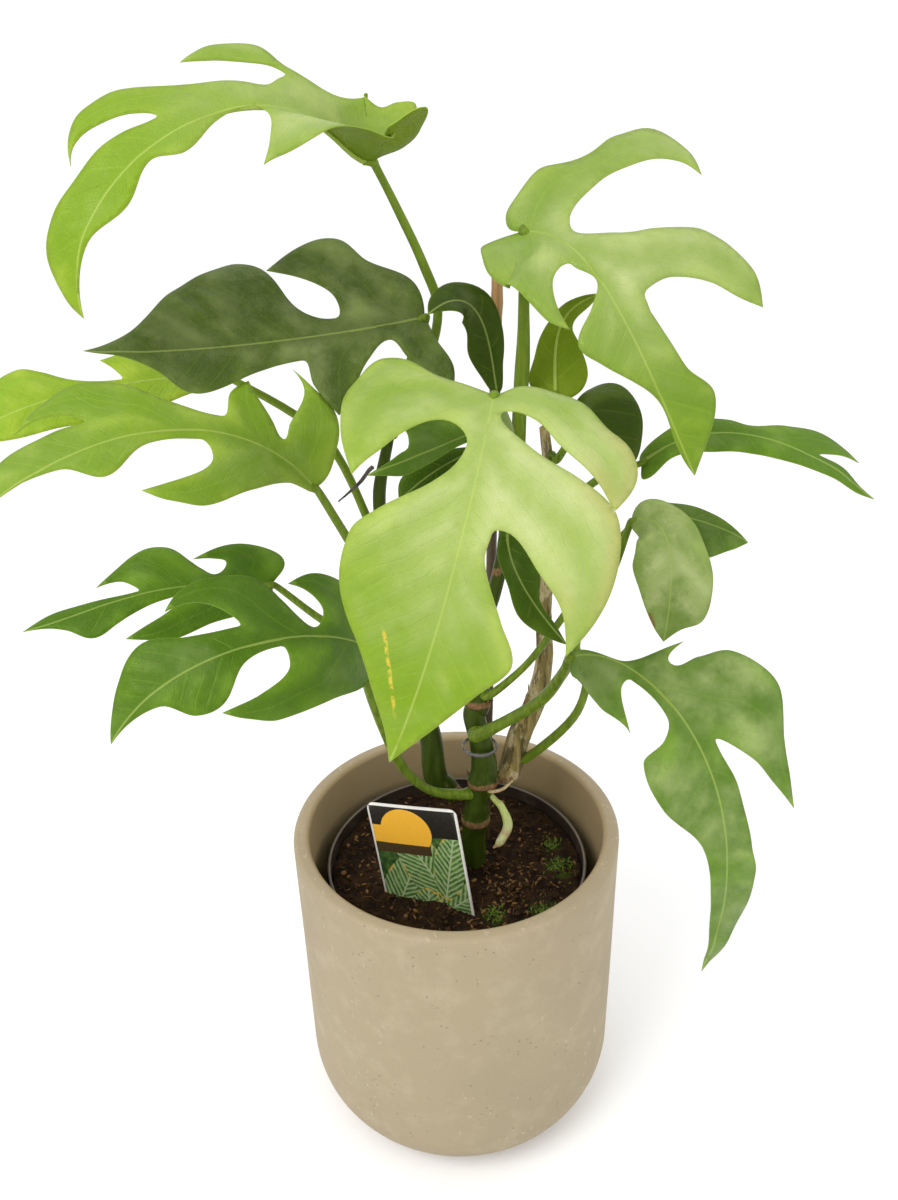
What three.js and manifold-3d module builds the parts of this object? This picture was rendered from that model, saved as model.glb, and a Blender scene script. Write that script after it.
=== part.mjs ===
// Potted mini monstera (Rhaphidophora tetrasperma) in a plain cylindrical cover pot.
// Millimetres, +Z up. The origin is the centre of the pot's foot, and the plant's best side faces -Y.
import * as THREE from "three";
import { mergeVertices } from "three/addons/utils/BufferGeometryUtils.js";
import Module from "manifold-3d";

// Cover pot
const POT_RADIUS = 90;
const POT_HEIGHT = 181;
const POT_WALL = 8.7;
const POT_FLOOR = 14;
const POT_FOOT_RADIUS = 54;
const POT_FOOT_ROUND = 36;
const POT_RIM_ROUND = 3;
const POT_SEGMENTS = 56;

// Plastic growing pot standing inside the cover pot
const NURSERY_TOP_RADIUS = 73;
const NURSERY_FOOT_RADIUS = 62;
const NURSERY_WALL = 1.2;
const NURSERY_TOP = 156;
const NURSERY_SEGMENTS = 40;
const CLEARANCE = 0.4;

// Soil filling the growing pot
const SOIL_TOP = 149;
const SOIL_CROWN = 3;
const SOIL_SEGMENTS = 32;

// Plant label pushed into the soil at the front
const LABEL_WIDTH = 52;
const LABEL_LENGTH = 86;
const LABEL_THICKNESS = 1;
const LABEL_CORNER = 4;
const LABEL_TAPER = 14;
const LABEL_FOOT = new THREE.Vector3(-12.5, -34, 125);
const LABEL_TURN = -23;
const LABEL_LEAN = 3;
const LABEL_TILT = -9.5;

// Leaf blades
const BLADE_THICKNESS = 0.8;
const LOBE_STEPS = 5;
const LOBE_ROWS = 2;
const TERMINAL_STEPS = 8;

// Support cane, and the ring that clips the main stem to it
const CANE_RADIUS = 2.6;
const CANE_HOLE_RADIUS = 3.2;
const CANE_SIDES = 8;
const CLIP_CENTRE = [13.8, 1.5];
const CLIP_INNER_RADIUS = 8.6;
const CLIP_OUTER_RADIUS = 9.6;
const CLIP_BOTTOM = 227;
const CLIP_TOP = 229.5;
const CLIP_SEGMENTS = 24;

// Sides of the stems and stalks
const MAIN_STEM_SIDES = 12;
const SIDE_STEM_SIDES = 10;
const STALK_SIDES = 7;
const ROOT_SIDES = 6;
const SHOOT_SIDES = 8;

// Colours
const CONCRETE = 0xb4a58c;
const PLASTIC = 0x6b4a35;
const LEAF_GREEN = 0x6f9a3c;
const STALK_GREEN = 0x8aa04a;
const STEM_GREEN = 0x5d7a35;
const SIDE_STEM_GREEN = 0x6a8a3a;
const BARK = 0xa08f68;
const CANE = 0xc49a62;
const CLIP = 0xd8d6ce;
const DARK_ROOT = 0x4a4038;
const PALE_ROOT = 0xc9ab78;
const SHOOT_GREEN = 0xb9c47c;
const CARD = 0xf2efe6;
const SOIL = 0x3a2b20;

const rad = THREE.MathUtils.degToRad;
const lerp = THREE.MathUtils.lerp;
const plant = new THREE.Group();

function add(name, geometry, colour, roughness = 0.6) {
  const material = new THREE.MeshStandardMaterial({ color: colour, roughness });
  const mesh = new THREE.Mesh(geometry, material);
  mesh.name = name;
  plant.add(mesh);
  return mesh;
}

// A closed profile of [radius, height] points turned about the Z axis.
function turned(profile, segments) {
  const points = profile.map(([r, z]) => new THREE.Vector2(r, z));
  return new THREE.LatheGeometry(points, segments).rotateX(Math.PI / 2);
}

// Points on a quarter turn about [r, z], from one angle to another in degrees.
function round(r, z, radius, from, to, steps) {
  const points = [];
  for (let i = 0; i <= steps; i++) {
    const a = rad(lerp(from, to, i / steps));
    points.push([r + radius * Math.cos(a), z + radius * Math.sin(a)]);
  }
  return points;
}

// ---- Pot, growing pot and soil ----

const innerRadius = POT_RADIUS - POT_WALL;
add(
  "cachepot",
  turned(
    [
      [0, 0],
      ...round(POT_FOOT_RADIUS, POT_FOOT_ROUND, POT_FOOT_ROUND, -90, 0, 5),
      ...round(POT_RADIUS - POT_RIM_ROUND, POT_HEIGHT - POT_RIM_ROUND, POT_RIM_ROUND, 0, 90, 3),
      ...round(innerRadius + POT_RIM_ROUND, POT_HEIGHT - POT_RIM_ROUND, POT_RIM_ROUND, 90, 180, 3),
      [innerRadius, POT_FLOOR],
      [0, POT_FLOOR],
    ],
    POT_SEGMENTS,
  ),
  CONCRETE,
  0.85,
);

const nurseryFloor = POT_FLOOR + CLEARANCE;
add(
  "nursery_pot",
  turned(
    [
      [0, nurseryFloor],
      [NURSERY_FOOT_RADIUS, nurseryFloor],
      [NURSERY_TOP_RADIUS, NURSERY_TOP],
      [NURSERY_TOP_RADIUS - NURSERY_WALL, NURSERY_TOP],
      [NURSERY_FOOT_RADIUS - NURSERY_WALL, nurseryFloor + NURSERY_WALL],
      [0, nurseryFloor + NURSERY_WALL],
    ],
    NURSERY_SEGMENTS,
  ),
  PLASTIC,
);

// ---- Limbs: stems, stalks and roots ----

// A closed round tube along a smooth path of [x, y, z] points, with a radius given at each point.
function limb(path, radii, sides = 8, stepsPerSpan = 3) {
  const curve = new THREE.CatmullRomCurve3(path.map((p) => new THREE.Vector3(...p)), false, "centripetal");
  const spans = path.length - 1;
  const steps = spans * stepsPerSpan;
  const positions = [];
  const faces = [];
  let across = new THREE.Vector3(1, 0, 0);
  for (let i = 0; i <= steps; i++) {
    const centre = curve.getPoint(i / steps);
    const along = curve.getTangent(i / steps);
    across = across.clone().addScaledVector(along, -across.dot(along)).normalize();
    const other = along.clone().cross(across);
    const at = (i / steps) * spans;
    const span = Math.min(Math.floor(at), spans - 1);
    const radius = lerp(radii[span], radii[span + 1], at - span);
    for (let k = 0; k < sides; k++) {
      const a = (2 * Math.PI * k) / sides;
      const p = centre.clone().addScaledVector(across, radius * Math.cos(a));
      positions.push(...p.addScaledVector(other, radius * Math.sin(a)).toArray());
    }
  }
  const start = positions.length / 3;
  positions.push(...path[0], ...path[spans]);
  for (let k = 0; k < sides; k++) {
    const next = (k + 1) % sides;
    faces.push(start, next, k);
    faces.push(start + 1, steps * sides + k, steps * sides + next);
    for (let i = 0; i < steps; i++) {
      const a = i * sides + k;
      const b = i * sides + next;
      faces.push(a, b, b + sides, a, b + sides, a + sides);
    }
  }
  return meshFrom(positions, faces);
}

function meshFrom(positions, faces) {
  const geometry = new THREE.BufferGeometry();
  geometry.setAttribute("position", new THREE.Float32BufferAttribute(positions, 3));
  geometry.setIndex(faces);
  geometry.computeVertexNormals();
  return geometry;
}

// ---- Leaf blades ----

// The blade is drawn flat first: u runs along the midrib from the stalk, v out from it, both in mm.
// The class bends that flat shape: the midrib follows a Bezier curve, and each side rises or falls
// from it by a lift angle (at the stalk, at a third of the length and at the tip) and curls down with v.
class Blade {
  constructor({ rib, face, left, right }) {
    this.face = face.map((f) => new THREE.Vector3(...f).normalize());
    this.sides = { "-1": left, 1: right };
    this.samples = [];
    const control = rib.map((p) => new THREE.Vector3(...p));
    const steps = 60;
    for (let i = 0; i <= steps; i++) {
      this.samples.push(bezier(control, i / steps));
    }
    this.reach = [0];
    for (let i = 1; i <= steps; i++) {
      this.reach.push(this.reach[i - 1] + this.samples[i].distanceTo(this.samples[i - 1]));
    }
    this.length = this.reach[steps];
  }

  // Point and direction on the midrib; it runs on straight past either end.
  rib(u) {
    const last = this.samples.length - 1;
    let i = this.reach.findIndex((s) => s > u);
    i = u <= 0 ? 1 : i < 1 ? last : i;
    const a = this.samples[i - 1];
    const b = this.samples[i];
    const along = b.clone().sub(a).normalize();
    const tangentBefore = this.samples[Math.max(i - 2, 0)];
    const tangentAfter = this.samples[Math.min(i + 1, last)];
    const smooth = tangentAfter.clone().sub(tangentBefore).normalize();
    const point = a.clone().addScaledVector(along, u - this.reach[i - 1]);
    return { point, along: u <= 0 || u >= this.length ? along : smooth };
  }

  lift(side, u) {
    const [base, third, tip] = this.sides[side].lift;
    const k = THREE.MathUtils.clamp(u / this.length, 0, 1);
    const nearBase = k < 0.35;
    const q = THREE.MathUtils.smoothstep(nearBase ? k / 0.35 : (k - 0.35) / 0.65, 0, 1);
    return rad(nearBase ? lerp(base, third, q) : lerp(third, tip, q));
  }

  at(u, v, side) {
    const { point, along } = this.rib(u);
    const k = THREE.MathUtils.clamp(u / this.length, 0, 1);
    const up = this.face[0].clone().lerp(this.face[1], k);
    up.addScaledVector(along, -up.dot(along)).normalize();
    const out = along.clone().cross(up).multiplyScalar(side);
    const start = this.lift(side, u);
    const bend = rad(this.sides[side].curl) / 50;
    const end = start - bend * v;
    point.addScaledVector(out, (Math.sin(start) - Math.sin(end)) / bend);
    return point.addScaledVector(up, (Math.cos(end) - Math.cos(start)) / bend);
  }

  normal(u, v, side) {
    const h = 0.5;
    const alongU = this.at(u + h, v, side).sub(this.at(u - h, v, side));
    if (v > 0) {
      const alongV = this.at(u, v + h, side).sub(this.at(u, Math.max(v - h, 0), side));
      return alongU.cross(alongV).multiplyScalar(side).normalize();
    }
    const across = this.at(u, h, 1).sub(this.at(u, h, -1));
    return alongU.cross(across).normalize();
  }
}

function bezier(control, t) {
  let points = control;
  while (points.length > 1) {
    points = points.slice(1).map((p, i) => points[i].clone().lerp(p, t));
  }
  return points[0];
}

// A smooth flat curve of [u, v] points through the given ones, leaving the first along lead.
function smoothCurve(points, lead, steps) {
  const spans = points.length - 1;
  const gap = (i) => Math.hypot(points[i + 1][0] - points[i][0], points[i + 1][1] - points[i][1]);
  const cuts = [0];
  for (let i = 0; i < spans; i++) {
    cuts.push(cuts[i] + gap(i));
  }
  const direction = (i) => {
    const du = points[i + 1][0] - points[i - 1][0];
    const dv = points[i + 1][1] - points[i - 1][1];
    const size = Math.hypot(du, dv);
    return [du / size, dv / size];
  };
  const result = [];
  for (let s = 0; s <= steps; s++) {
    const along = (cuts[spans] * s) / steps;
    let i = cuts.findIndex((c) => c > along) - 1;
    i = i < 0 ? spans - 1 : i;
    const h = (along - cuts[i]) / gap(i);
    const point = [0, 1].map((axis) => {
      const a = points[i][axis];
      const b = points[i + 1][axis];
      const from = (i === 0 ? lead[axis] : direction(i)[axis]) * gap(i);
      const to = i + 1 === spans ? 1.5 * (b - a) - 0.5 * from : direction(i + 1)[axis] * gap(i);
      const h2 = h * h;
      const h3 = h2 * h;
      return (2 * h3 - 3 * h2 + 1) * a + (h3 - 2 * h2 + h) * from + (3 * h2 - 2 * h3) * b + (h3 - h2) * to;
    });
    result.push(point);
  }
  result[0] = points[0];
  result[steps] = points[spans];
  return result;
}

// One closed thin solid: lobes and the end of the blade on each side, joined by strips to the midrib.
function bladeGeometry(leaf) {
  const blade = new Blade(leaf);
  const spots = [];
  const index = new Map();
  const spot = (u, v, side) => {
    const key = [u.toFixed(2), v.toFixed(2), v > 0 ? side : 0].join(" ");
    if (!index.has(key)) {
      index.set(key, spots.length);
      spots.push([u, Math.max(v, 0), side]);
    }
    return index.get(key);
  };
  const top = [];
  const triangle = (a, b, c, side) => {
    if (a !== b && b !== c && c !== a) {
      top.push(...(side > 0 ? [a, b, c] : [a, c, b]));
    }
  };
  const midStops = [0, blade.length];
  const rootLines = {};
  for (const side of [-1, 1]) {
    const { lobes = [], end, lead = [-0.3, 0.8] } = side < 0 ? leaf.left : leaf.right;
    let start = [0, 0];
    let away = lead;
    const root = [[0, 0]];
    for (const lobe of lobes) {
      const back = smoothCurve([start, ...lobe.back, lobe.tip], away, LOBE_STEPS);
      const front = smoothCurve([lobe.sinus, ...lobe.front, lobe.tip], [-1, 0], LOBE_STEPS);
      lobeSheet(back, front, side, spot, triangle);
      for (let k = 1; k <= LOBE_ROWS; k++) {
        root.push(between(back[0], front[0], k / LOBE_ROWS));
      }
      midStops.push(lobe.sinus[0]);
      start = lobe.sinus;
      away = [1, 0];
    }
    const edge = smoothCurve([start, ...end, [blade.length, 0]], away, TERMINAL_STEPS);
    const inner = edge.map(([, v], i) => {
      const k = i / TERMINAL_STEPS;
      const u = lerp(start[0], blade.length, k);
      return [u, i === TERMINAL_STEPS ? 0 : Math.max(start[1] * (1 - k), 0.35 * v)];
    });
    inner[0] = start;
    lobeSheet(edge, inner, side, spot, triangle, 2);
    root.push(...inner.slice(1));
    rootLines[side] = root;
  }
  const rib = midLine(midStops, blade.length);
  for (const side of [-1, 1]) {
    stitch(rib, rootLines[side], side, spot, triangle);
  }
  return thicken(blade, spots, top);
}

const between = (a, b, k) => [lerp(a[0], b[0], k), lerp(a[1], b[1], k)];

// Rows of faces between two flat curves that meet at their far end.
function lobeSheet(back, front, side, spot, triangle, rows = LOBE_ROWS) {
  for (let i = 0; i + 1 < back.length; i++) {
    for (let k = 0; k < rows; k++) {
      const a = spot(...between(back[i], front[i], k / rows), side);
      const b = spot(...between(back[i], front[i], (k + 1) / rows), side);
      const c = spot(...between(back[i + 1], front[i + 1], (k + 1) / rows), side);
      const d = spot(...between(back[i + 1], front[i + 1], k / rows), side);
      triangle(a, b, c, side);
      triangle(a, c, d, side);
    }
  }
}

// Stops along the midrib: at the sinuses, and at even steps between them.
function midLine(stops, length) {
  const step = 9;
  const even = [];
  for (let u = 0; u <= length; u += length / Math.ceil(length / step)) {
    even.push(u);
  }
  const all = [...stops, ...even.filter((u) => stops.every((s) => Math.abs(s - u) > step / 3))];
  all.sort((a, b) => a - b);
  return all.filter((u, i) => i === 0 || u - all[i - 1] > 0.5).map((u) => [u, 0]);
}

// Faces between the midrib and the line where the lobes begin.
function stitch(rib, root, side, spot, triangle) {
  let i = 0;
  let j = 0;
  while (i + 1 < rib.length || j + 1 < root.length) {
    const a = spot(...rib[i], side);
    const b = spot(...root[j], side);
    const ribNext = i + 1 < rib.length && (j + 1 >= root.length || rib[i + 1][0] <= root[j + 1][0]);
    if (ribNext) {
      i += 1;
      triangle(a, spot(...rib[i], side), b, side);
    } else {
      j += 1;
      triangle(a, spot(...root[j], side), b, side);
    }
  }
}

// Gives the faces a thickness: the same faces below, turned over, and walls round the free edge.
function thicken(blade, spots, top) {
  const positions = [];
  for (const half of [BLADE_THICKNESS / 2, -BLADE_THICKNESS / 2]) {
    for (const [u, v, side] of spots) {
      const p = blade.at(u, v, side).addScaledVector(blade.normal(u, v, side), half);
      positions.push(...p.toArray());
    }
  }
  const below = spots.length;
  const faces = [...top];
  const edges = new Set();
  for (let i = 0; i < top.length; i += 3) {
    const [a, b, c] = top.slice(i, i + 3);
    faces.push(a + below, c + below, b + below);
    edges.add(`${a} ${b}`).add(`${b} ${c}`).add(`${c} ${a}`);
  }
  for (const edge of edges) {
    const [a, b] = edge.split(" ").map(Number);
    if (!edges.has(`${b} ${a}`)) {
      faces.push(a, a + below, b + below, a, b + below, b);
    }
  }
  return meshFrom(positions, faces);
}

// ---- The leaves: each blade's midrib, which way it faces, and the outline of each side ----

const leaves = {
  top_left: {
    rib: [[-28, 10, 513], [-48, 4, 512], [-38, -25, 568], [-146, -52, 518], [-135, -56, 461]],
    face: [[0.15, -0.35, 0.93], [-0.35, -0.8, 0.3]],
    left: {
      lift: [50, -5, -5],
      curl: 6,
      lobes: [
        {
          back: [[-10, 12], [-13, 27], [-8, 45], [-1, 34], [16, 29], [42, 27]],
          tip: [68, 31],
          front: [[53, 5], [60, 21]],
          sinus: [57, 0],
        },
      ],
      end: [[73, 3], [91, 10], [103, 4], [123, 10], [141, 3]],
    },
    right: {
      lead: [-0.8, 0.6],
      lift: [45, 12, 8],
      curl: 6,
      lobes: [
        {
          back: [[-16, 11], [-22, 23], [-14, 24], [-6, 22], [4, 28], [21, 19], [38, 22], [47, 35], [61, 34]],
          tip: [73, 27],
          front: [[43, 15], [40, 19], [52, 24]],
          sinus: [50, 10],
        },
        {
          back: [[59, 13], [80, 19], [98, 29], [111, 30]],
          tip: [123, 18],
          front: [[93, 13], [107, 21], [117, 22]],
          sinus: [91, 9],
        },
      ],
      end: [[104, 12], [124, 14], [146, 15], [162, 6]],
    },
  },
  top_right: {
    rib: [[33, -2, 485], [57, -15, 487], [65, -58, 464], [101, -50, 393]],
    face: [[0, -0.8, 0.6], [0.2, -0.9, 0.4]],
    left: {
      lead: [-0.95, 0.1],
      lift: [4, 4, 4],
      curl: 10,
      lobes: [
        {
          back: [[-7, 2], [-9, 10], [-3, 26], [7, 40], [10, 59], [16, 71]],
          tip: [28, 66],
          front: [[14, 13], [14, 32], [17, 48], [22, 63]],
          sinus: [20, 7],
        },
        {
          back: [[32, 17], [38, 32], [46, 49], [69, 59]],
          tip: [87, 57],
          front: [[58, 15], [58, 26], [67, 40], [79, 49]],
          sinus: [61, 12],
        },
      ],
      end: [[68, 11], [93, 15], [110, 22], [126, 10]],
    },
    right: {
      lead: [-0.95, 0.2],
      lift: [0, 0, 0],
      curl: 8,
      lobes: [
        {
          back: [[-17, 6], [-16, 11], [-10, 20], [3, 27], [26, 29], [50, 27]],
          tip: [59, 21],
          front: [[31, 9], [35, 15], [46, 20]],
          sinus: [33, 5],
        },
      ],
      end: [[45, 1], [55, 9], [66, 21], [77, 16], [98, 2], [123, 2]],
    },
  },
  upper_left: {
    rib: [[-9, 14, 450], [-38, 10, 444], [-115, -22, 440], [-141, -44, 448]],
    face: [[0, -0.5, 0.86], [-0.1, -0.5, 0.8]],
    left: {
      lift: [-16, -18, -18],
      curl: 8,
      lobes: [
        {
          back: [[-2, 12], [-6, 26]],
          tip: [-4, 36],
          front: [[13, 18], [8, 27]],
          sinus: [19, 8],
        },
        {
          back: [[30, 15], [41, 29]],
          tip: [50, 39],
          front: [[57, 23]],
          sinus: [59, 11],
        },
      ],
      end: [[72, 12], [100, 21], [110, 20], [120, 8], [133, 2]],
    },
    right: {
      lift: [30, 26, 20],
      curl: 8,
      lobes: [
        {
          back: [[1, 18], [18, 32], [28, 46], [45, 45]],
          tip: [63, 34],
          front: [[37, 18], [47, 28]],
          sinus: [39, 7],
        },
      ],
      end: [[53, 13], [65, 35], [79, 40], [104, 29], [126, 10]],
    },
  },
  middle_left: {
    rib: [[-59, -20, 382], [-81, -45, 427], [-128, -67, 430], [-175, -86, 397]],
    face: [[0, -0.55, 0.83], [-0.3, -0.6, 0.7]],
    left: {
      lift: [-4, -4, 0],
      curl: 6,
      lobes: [
        {
          back: [[17, 9], [40, 24], [66, 36], [83, 34]],
          tip: [93, 27],
          front: [[59, 14], [72, 23]],
          sinus: [63, 4],
        },
      ],
      end: [[83, 5], [104, 16], [118, 4]],
    },
    right: {
      lift: [62, 14, 4],
      curl: 2,
      lobes: [
        {
          back: [[10, 20], [17, 29], [26, 33]],
          tip: [32, 37],
          front: [[27, 14], [27, 29]],
          sinus: [27, 7],
        },
        {
          back: [[33, 12], [40, 21]],
          tip: [43, 27],
          front: [[49, 20]],
          sinus: [53, 8],
        },
        {
          back: [[72, 13], [89, 27], [106, 31]],
          tip: [127, 23],
          front: [[106, 18], [118, 23]],
          sinus: [103, 13],
        },
      ],
      end: [[114, 14], [136, 14]],
    },
  },
  far_left: {
    rib: [[-107, 30, 425], [-162, 20, 421], [-177, 2, 425], [-220, -8, 404]],
    face: [[0, -0.5, 0.86], [-0.2, -0.6, 0.8]],
    left: {
      lift: [-20, -20, -20],
      curl: 6,
      end: [[23, 12], [50, 16], [78, 15], [104, 10]],
    },
    right: {
      lift: [16, 16, 10],
      curl: 4,
      lobes: [
        {
          back: [[6, 13], [30, 19]],
          tip: [52, 15],
          front: [[47, 9]],
          sinus: [45, 3],
        },
      ],
      end: [[64, 6], [77, 16], [87, 22], [104, 16]],
    },
  },
  front: {
    rib: [[18, -62, 431], [9, -119, 414], [-6, -127, 352], [-25, -124, 307]],
    face: [[0, -0.55, 0.83], [-0.15, -0.95, 0.3]],
    left: {
      lift: [4, 4, 4],
      curl: 10,
      lobes: [
        {
          back: [[-6, 10], [-2, 28], [15, 45], [30, 56]],
          tip: [46, 50],
          front: [[12, 13], [24, 26], [38, 43]],
          sinus: [13, 4],
        },
        {
          back: [[26, 15], [37, 35], [47, 51], [71, 55]],
          tip: [95, 46],
          front: [[61, 17], [71, 29], [81, 40]],
          sinus: [62, 10],
        },
      ],
      end: [[72, 10], [90, 21], [99, 28], [105, 29], [117, 21], [140, 8]],
    },
    right: {
      lift: [4, 4, 4],
      curl: 10,
      lobes: [
        {
          back: [[-6, 16], [-20, 46], [-1, 56], [28, 54]],
          tip: [51, 44],
          front: [[20, 14], [25, 26], [40, 38]],
          sinus: [30, 6],
        },
      ],
      end: [[46, 14], [62, 32], [73, 40], [97, 38], [116, 25], [141, 9]],
    },
  },
  lower_left: {
    rib: [[-38, -52, 319], [-58, -78, 347], [-109, -116, 352], [-133, -112, 310]],
    face: [[0, -0.6, 0.8], [-0.25, -0.8, 0.5]],
    left: {
      lift: [-6, -6, -4],
      curl: 8,
      lobes: [
        {
          back: [[-1, 16], [31, 28], [61, 32], [76, 27]],
          tip: [84, 21],
          front: [[49, 13], [65, 20]],
          sinus: [49, 3],
        },
      ],
      end: [[66, 6], [81, 18], [94, 17], [104, 6]],
    },
    right: {
      lift: [10, 10, 8],
      curl: 6,
      lobes: [
        {
          back: [[-1, 20], [13, 28], [26, 29]],
          tip: [38, 24],
          front: [[25, 11], [28, 19]],
          sinus: [31, 4],
        },
        {
          back: [[42, 16], [51, 27], [67, 32], [77, 31]],
          tip: [85, 25],
          front: [[66, 17], [74, 24]],
          sinus: [63, 9],
        },
      ],
      end: [[82, 12], [97, 19], [111, 12], [125, 4]],
    },
  },
  low_far_left: {
    rib: [[-87, -2, 328], [-145, -22, 341], [-155, -27, 330], [-192, -44, 326]],
    face: [[0, -0.5, 0.86], [-0.2, -0.5, 0.8]],
    left: {
      lift: [-10, -10, -10],
      curl: 8,
      lobes: [
        {
          back: [[6, 12], [30, 20], [52, 26]],
          tip: [74, 20],
          front: [[42, 6], [55, 14]],
          sinus: [38, 4],
        },
      ],
      end: [[55, 6], [76, 12], [88, 14], [97, 6], [104, 2]],
    },
    right: {
      lift: [10, 10, 10],
      curl: 4,
      lobes: [
        {
          back: [[-7, 13], [3, 21], [20, 22]],
          tip: [36, 15],
          front: [[21, 12], [27, 15]],
          sinus: [27, 6],
        },
        {
          back: [[33, 10], [37, 14], [46, 23], [57, 23]],
          tip: [79, 10],
          front: [[64, 6], [69, 10]],
          sinus: [62, 2],
        },
      ],
      end: [[76, 3], [99, 5]],
    },
  },
  middle_right: {
    rib: [[91, 8, 382], [131, 1, 418], [189, -26, 373]],
    face: [[0, -0.5, 0.85], [0.2, -0.5, 0.85]],
    left: {
      lift: [10, 8, 6],
      curl: 4,
      lobes: [
        {
          back: [[16, 8]],
          tip: [32, 9],
          front: [[42, 8]],
          sinus: [50, 6],
        },
        {
          back: [[66, 12], [82, 16]],
          tip: [100, 13],
          front: [[91, 9]],
          sinus: [84, 3],
        },
      ],
      end: [[98, 3]],
    },
    right: {
      lift: [-10, -8, -6],
      curl: 4,
      end: [[-3, 8], [15, 7], [42, 11], [78, 8], [106, 3]],
    },
  },
  grey_right: {
    rib: [[84, -14, 361], [105, -31, 375], [96, -44, 313]],
    face: [[0.1, -0.7, 0.7], [0.1, -0.95, 0.2]],
    left: {
      lift: [0, 0, 0],
      curl: 8,
      end: [[3, 9], [13, 13], [26, 17], [44, 20], [59, 17], [64, 7]],
    },
    right: {
      lift: [0, 0, 0],
      curl: 8,
      end: [[31, 17], [47, 14], [63, 6]],
    },
  },
  back_right: {
    rib: [[95, 10, 356], [122, 1, 358], [140, -12, 348]],
    face: [[0.1, -0.5, 0.85], [0.3, -0.5, 0.8]],
    left: {
      lift: [10, 10, 10],
      curl: 4,
      end: [[2, 7], [13, 7], [27, 7], [40, 4]],
    },
    right: {
      lift: [-10, -10, -10],
      curl: 4,
      end: [[13, 15], [35, 21], [47, 10]],
    },
  },
  lower_right: {
    rib: [[51, -60, 315], [77, -72, 333], [128, -129, 300], [114, -96, 164]],
    face: [[0, -0.7, 0.7], [0.1, -0.85, 0.5]],
    left: {
      lift: [6, 4, 0],
      curl: 10,
      lobes: [
        {
          back: [[24, 1], [31, 8]],
          tip: [43, 38],
          front: [[38, 24]],
          sinus: [40, 12],
        },
        {
          back: [[45, 23], [51, 36], [67, 43], [84, 35]],
          tip: [111, 31],
          front: [[85, 18], [99, 25]],
          sinus: [74, 7],
        },
      ],
      end: [[92, 9], [123, 11], [137, 13], [171, 8]],
    },
    right: {
      lift: [0, 0, 0],
      curl: 10,
      lobes: [
        {
          back: [[0, 9], [27, 21], [48, 21]],
          tip: [59, 25],
          front: [[31, 9], [39, 16]],
          sinus: [32, 4],
        },
      ],
      end: [[55, 5], [62, 12], [66, 24], [92, 24], [119, 10], [150, 6]],
    },
  },
  centre_hook: {
    rib: [[23, 6, 417], [20, 5, 435], [18, 3, 471], [-7, -16, 455]],
    face: [[0, -0.9, 0.5], [-0.2, -0.8, 0.6]],
    left: {
      lift: [0, 0, 0],
      curl: 10,
      end: [[12, 6], [26, 12], [40, 13], [54, 7]],
    },
    right: {
      lift: [0, 0, 0],
      curl: 10,
      end: [[14, 5], [30, 8], [48, 9], [60, 6]],
    },
  },
  centre_back: {
    rib: [[51, 14, 411], [51, 26, 433], [49, 26, 451], [69, 14, 458]],
    face: [[0.2, 0.75, -0.6], [0.3, 0.7, 0.6]],
    left: {
      lift: [10, 10, 10],
      curl: 10,
      end: [[3, 11], [12, 15], [28, 10], [36, 5], [51, 4]],
    },
    right: {
      lift: [10, 10, 10],
      curl: 10,
      end: [[8, 12], [21, 10], [34, 6], [47, 3]],
    },
  },
  round_right: {
    rib: [[59, 7, 411], [71, -8, 409], [82, -13, 384]],
    face: [[0.1, -0.6, 0.75], [0.3, -0.8, 0.5]],
    left: {
      lift: [10, 10, 10],
      curl: 8,
      end: [[-1, 10], [7, 20], [20, 19], [35, 10]],
    },
    right: {
      lift: [0, 0, 0],
      curl: 8,
      end: [[11, 13], [27, 15], [39, 9]],
    },
  },
  inner_left: {
    rib: [[13, -20, 406], [-9, -29, 400], [-34, -42, 394]],
    face: [[0, -0.7, 0.7], [0, -0.7, 0.7]],
    left: {
      lift: [0, 0, 0],
      curl: 4,
      end: [[16, 4], [38, 6], [47, 3]],
    },
    right: {
      lift: [14, 14, 14],
      curl: 4,
      lobes: [
        {
          back: [[4, 8], [19, 13]],
          tip: [31, 15],
          front: [[29, 10]],
          sinus: [33, 4],
        },
      ],
      end: [[42, 2]],
    },
  },
  inner_dark: {
    rib: [[15, -8, 395], [-4, -18, 392], [-22, -28, 378]],
    face: [[0, -0.7, 0.7], [0, -0.7, 0.7]],
    left: {
      lift: [0, 0, 0],
      curl: 4,
      end: [[7, 10], [26, 12], [39, 7]],
    },
    right: {
      lift: [0, 0, 0],
      curl: 4,
      end: [[7, 4], [22, 7], [38, 7]],
    },
  },
  hanging: {
    rib: [[26, -30, 365], [23, -35, 345], [51, -52, 317]],
    face: [[0.2, -0.85, 0.5], [0, -0.9, 0.3]],
    left: {
      lift: [0, 0, 0],
      curl: 6,
      end: [[10, 10], [27, 9], [37, 3], [50, 2]],
    },
    right: {
      lift: [0, 0, 0],
      curl: 6,
      end: [[8, 5], [24, 6], [38, 9], [51, 5]],
    },
  },
};

// ---- Where each leaf stalk runs, from its stem to the blade, and its thickness at both ends ----

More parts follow.
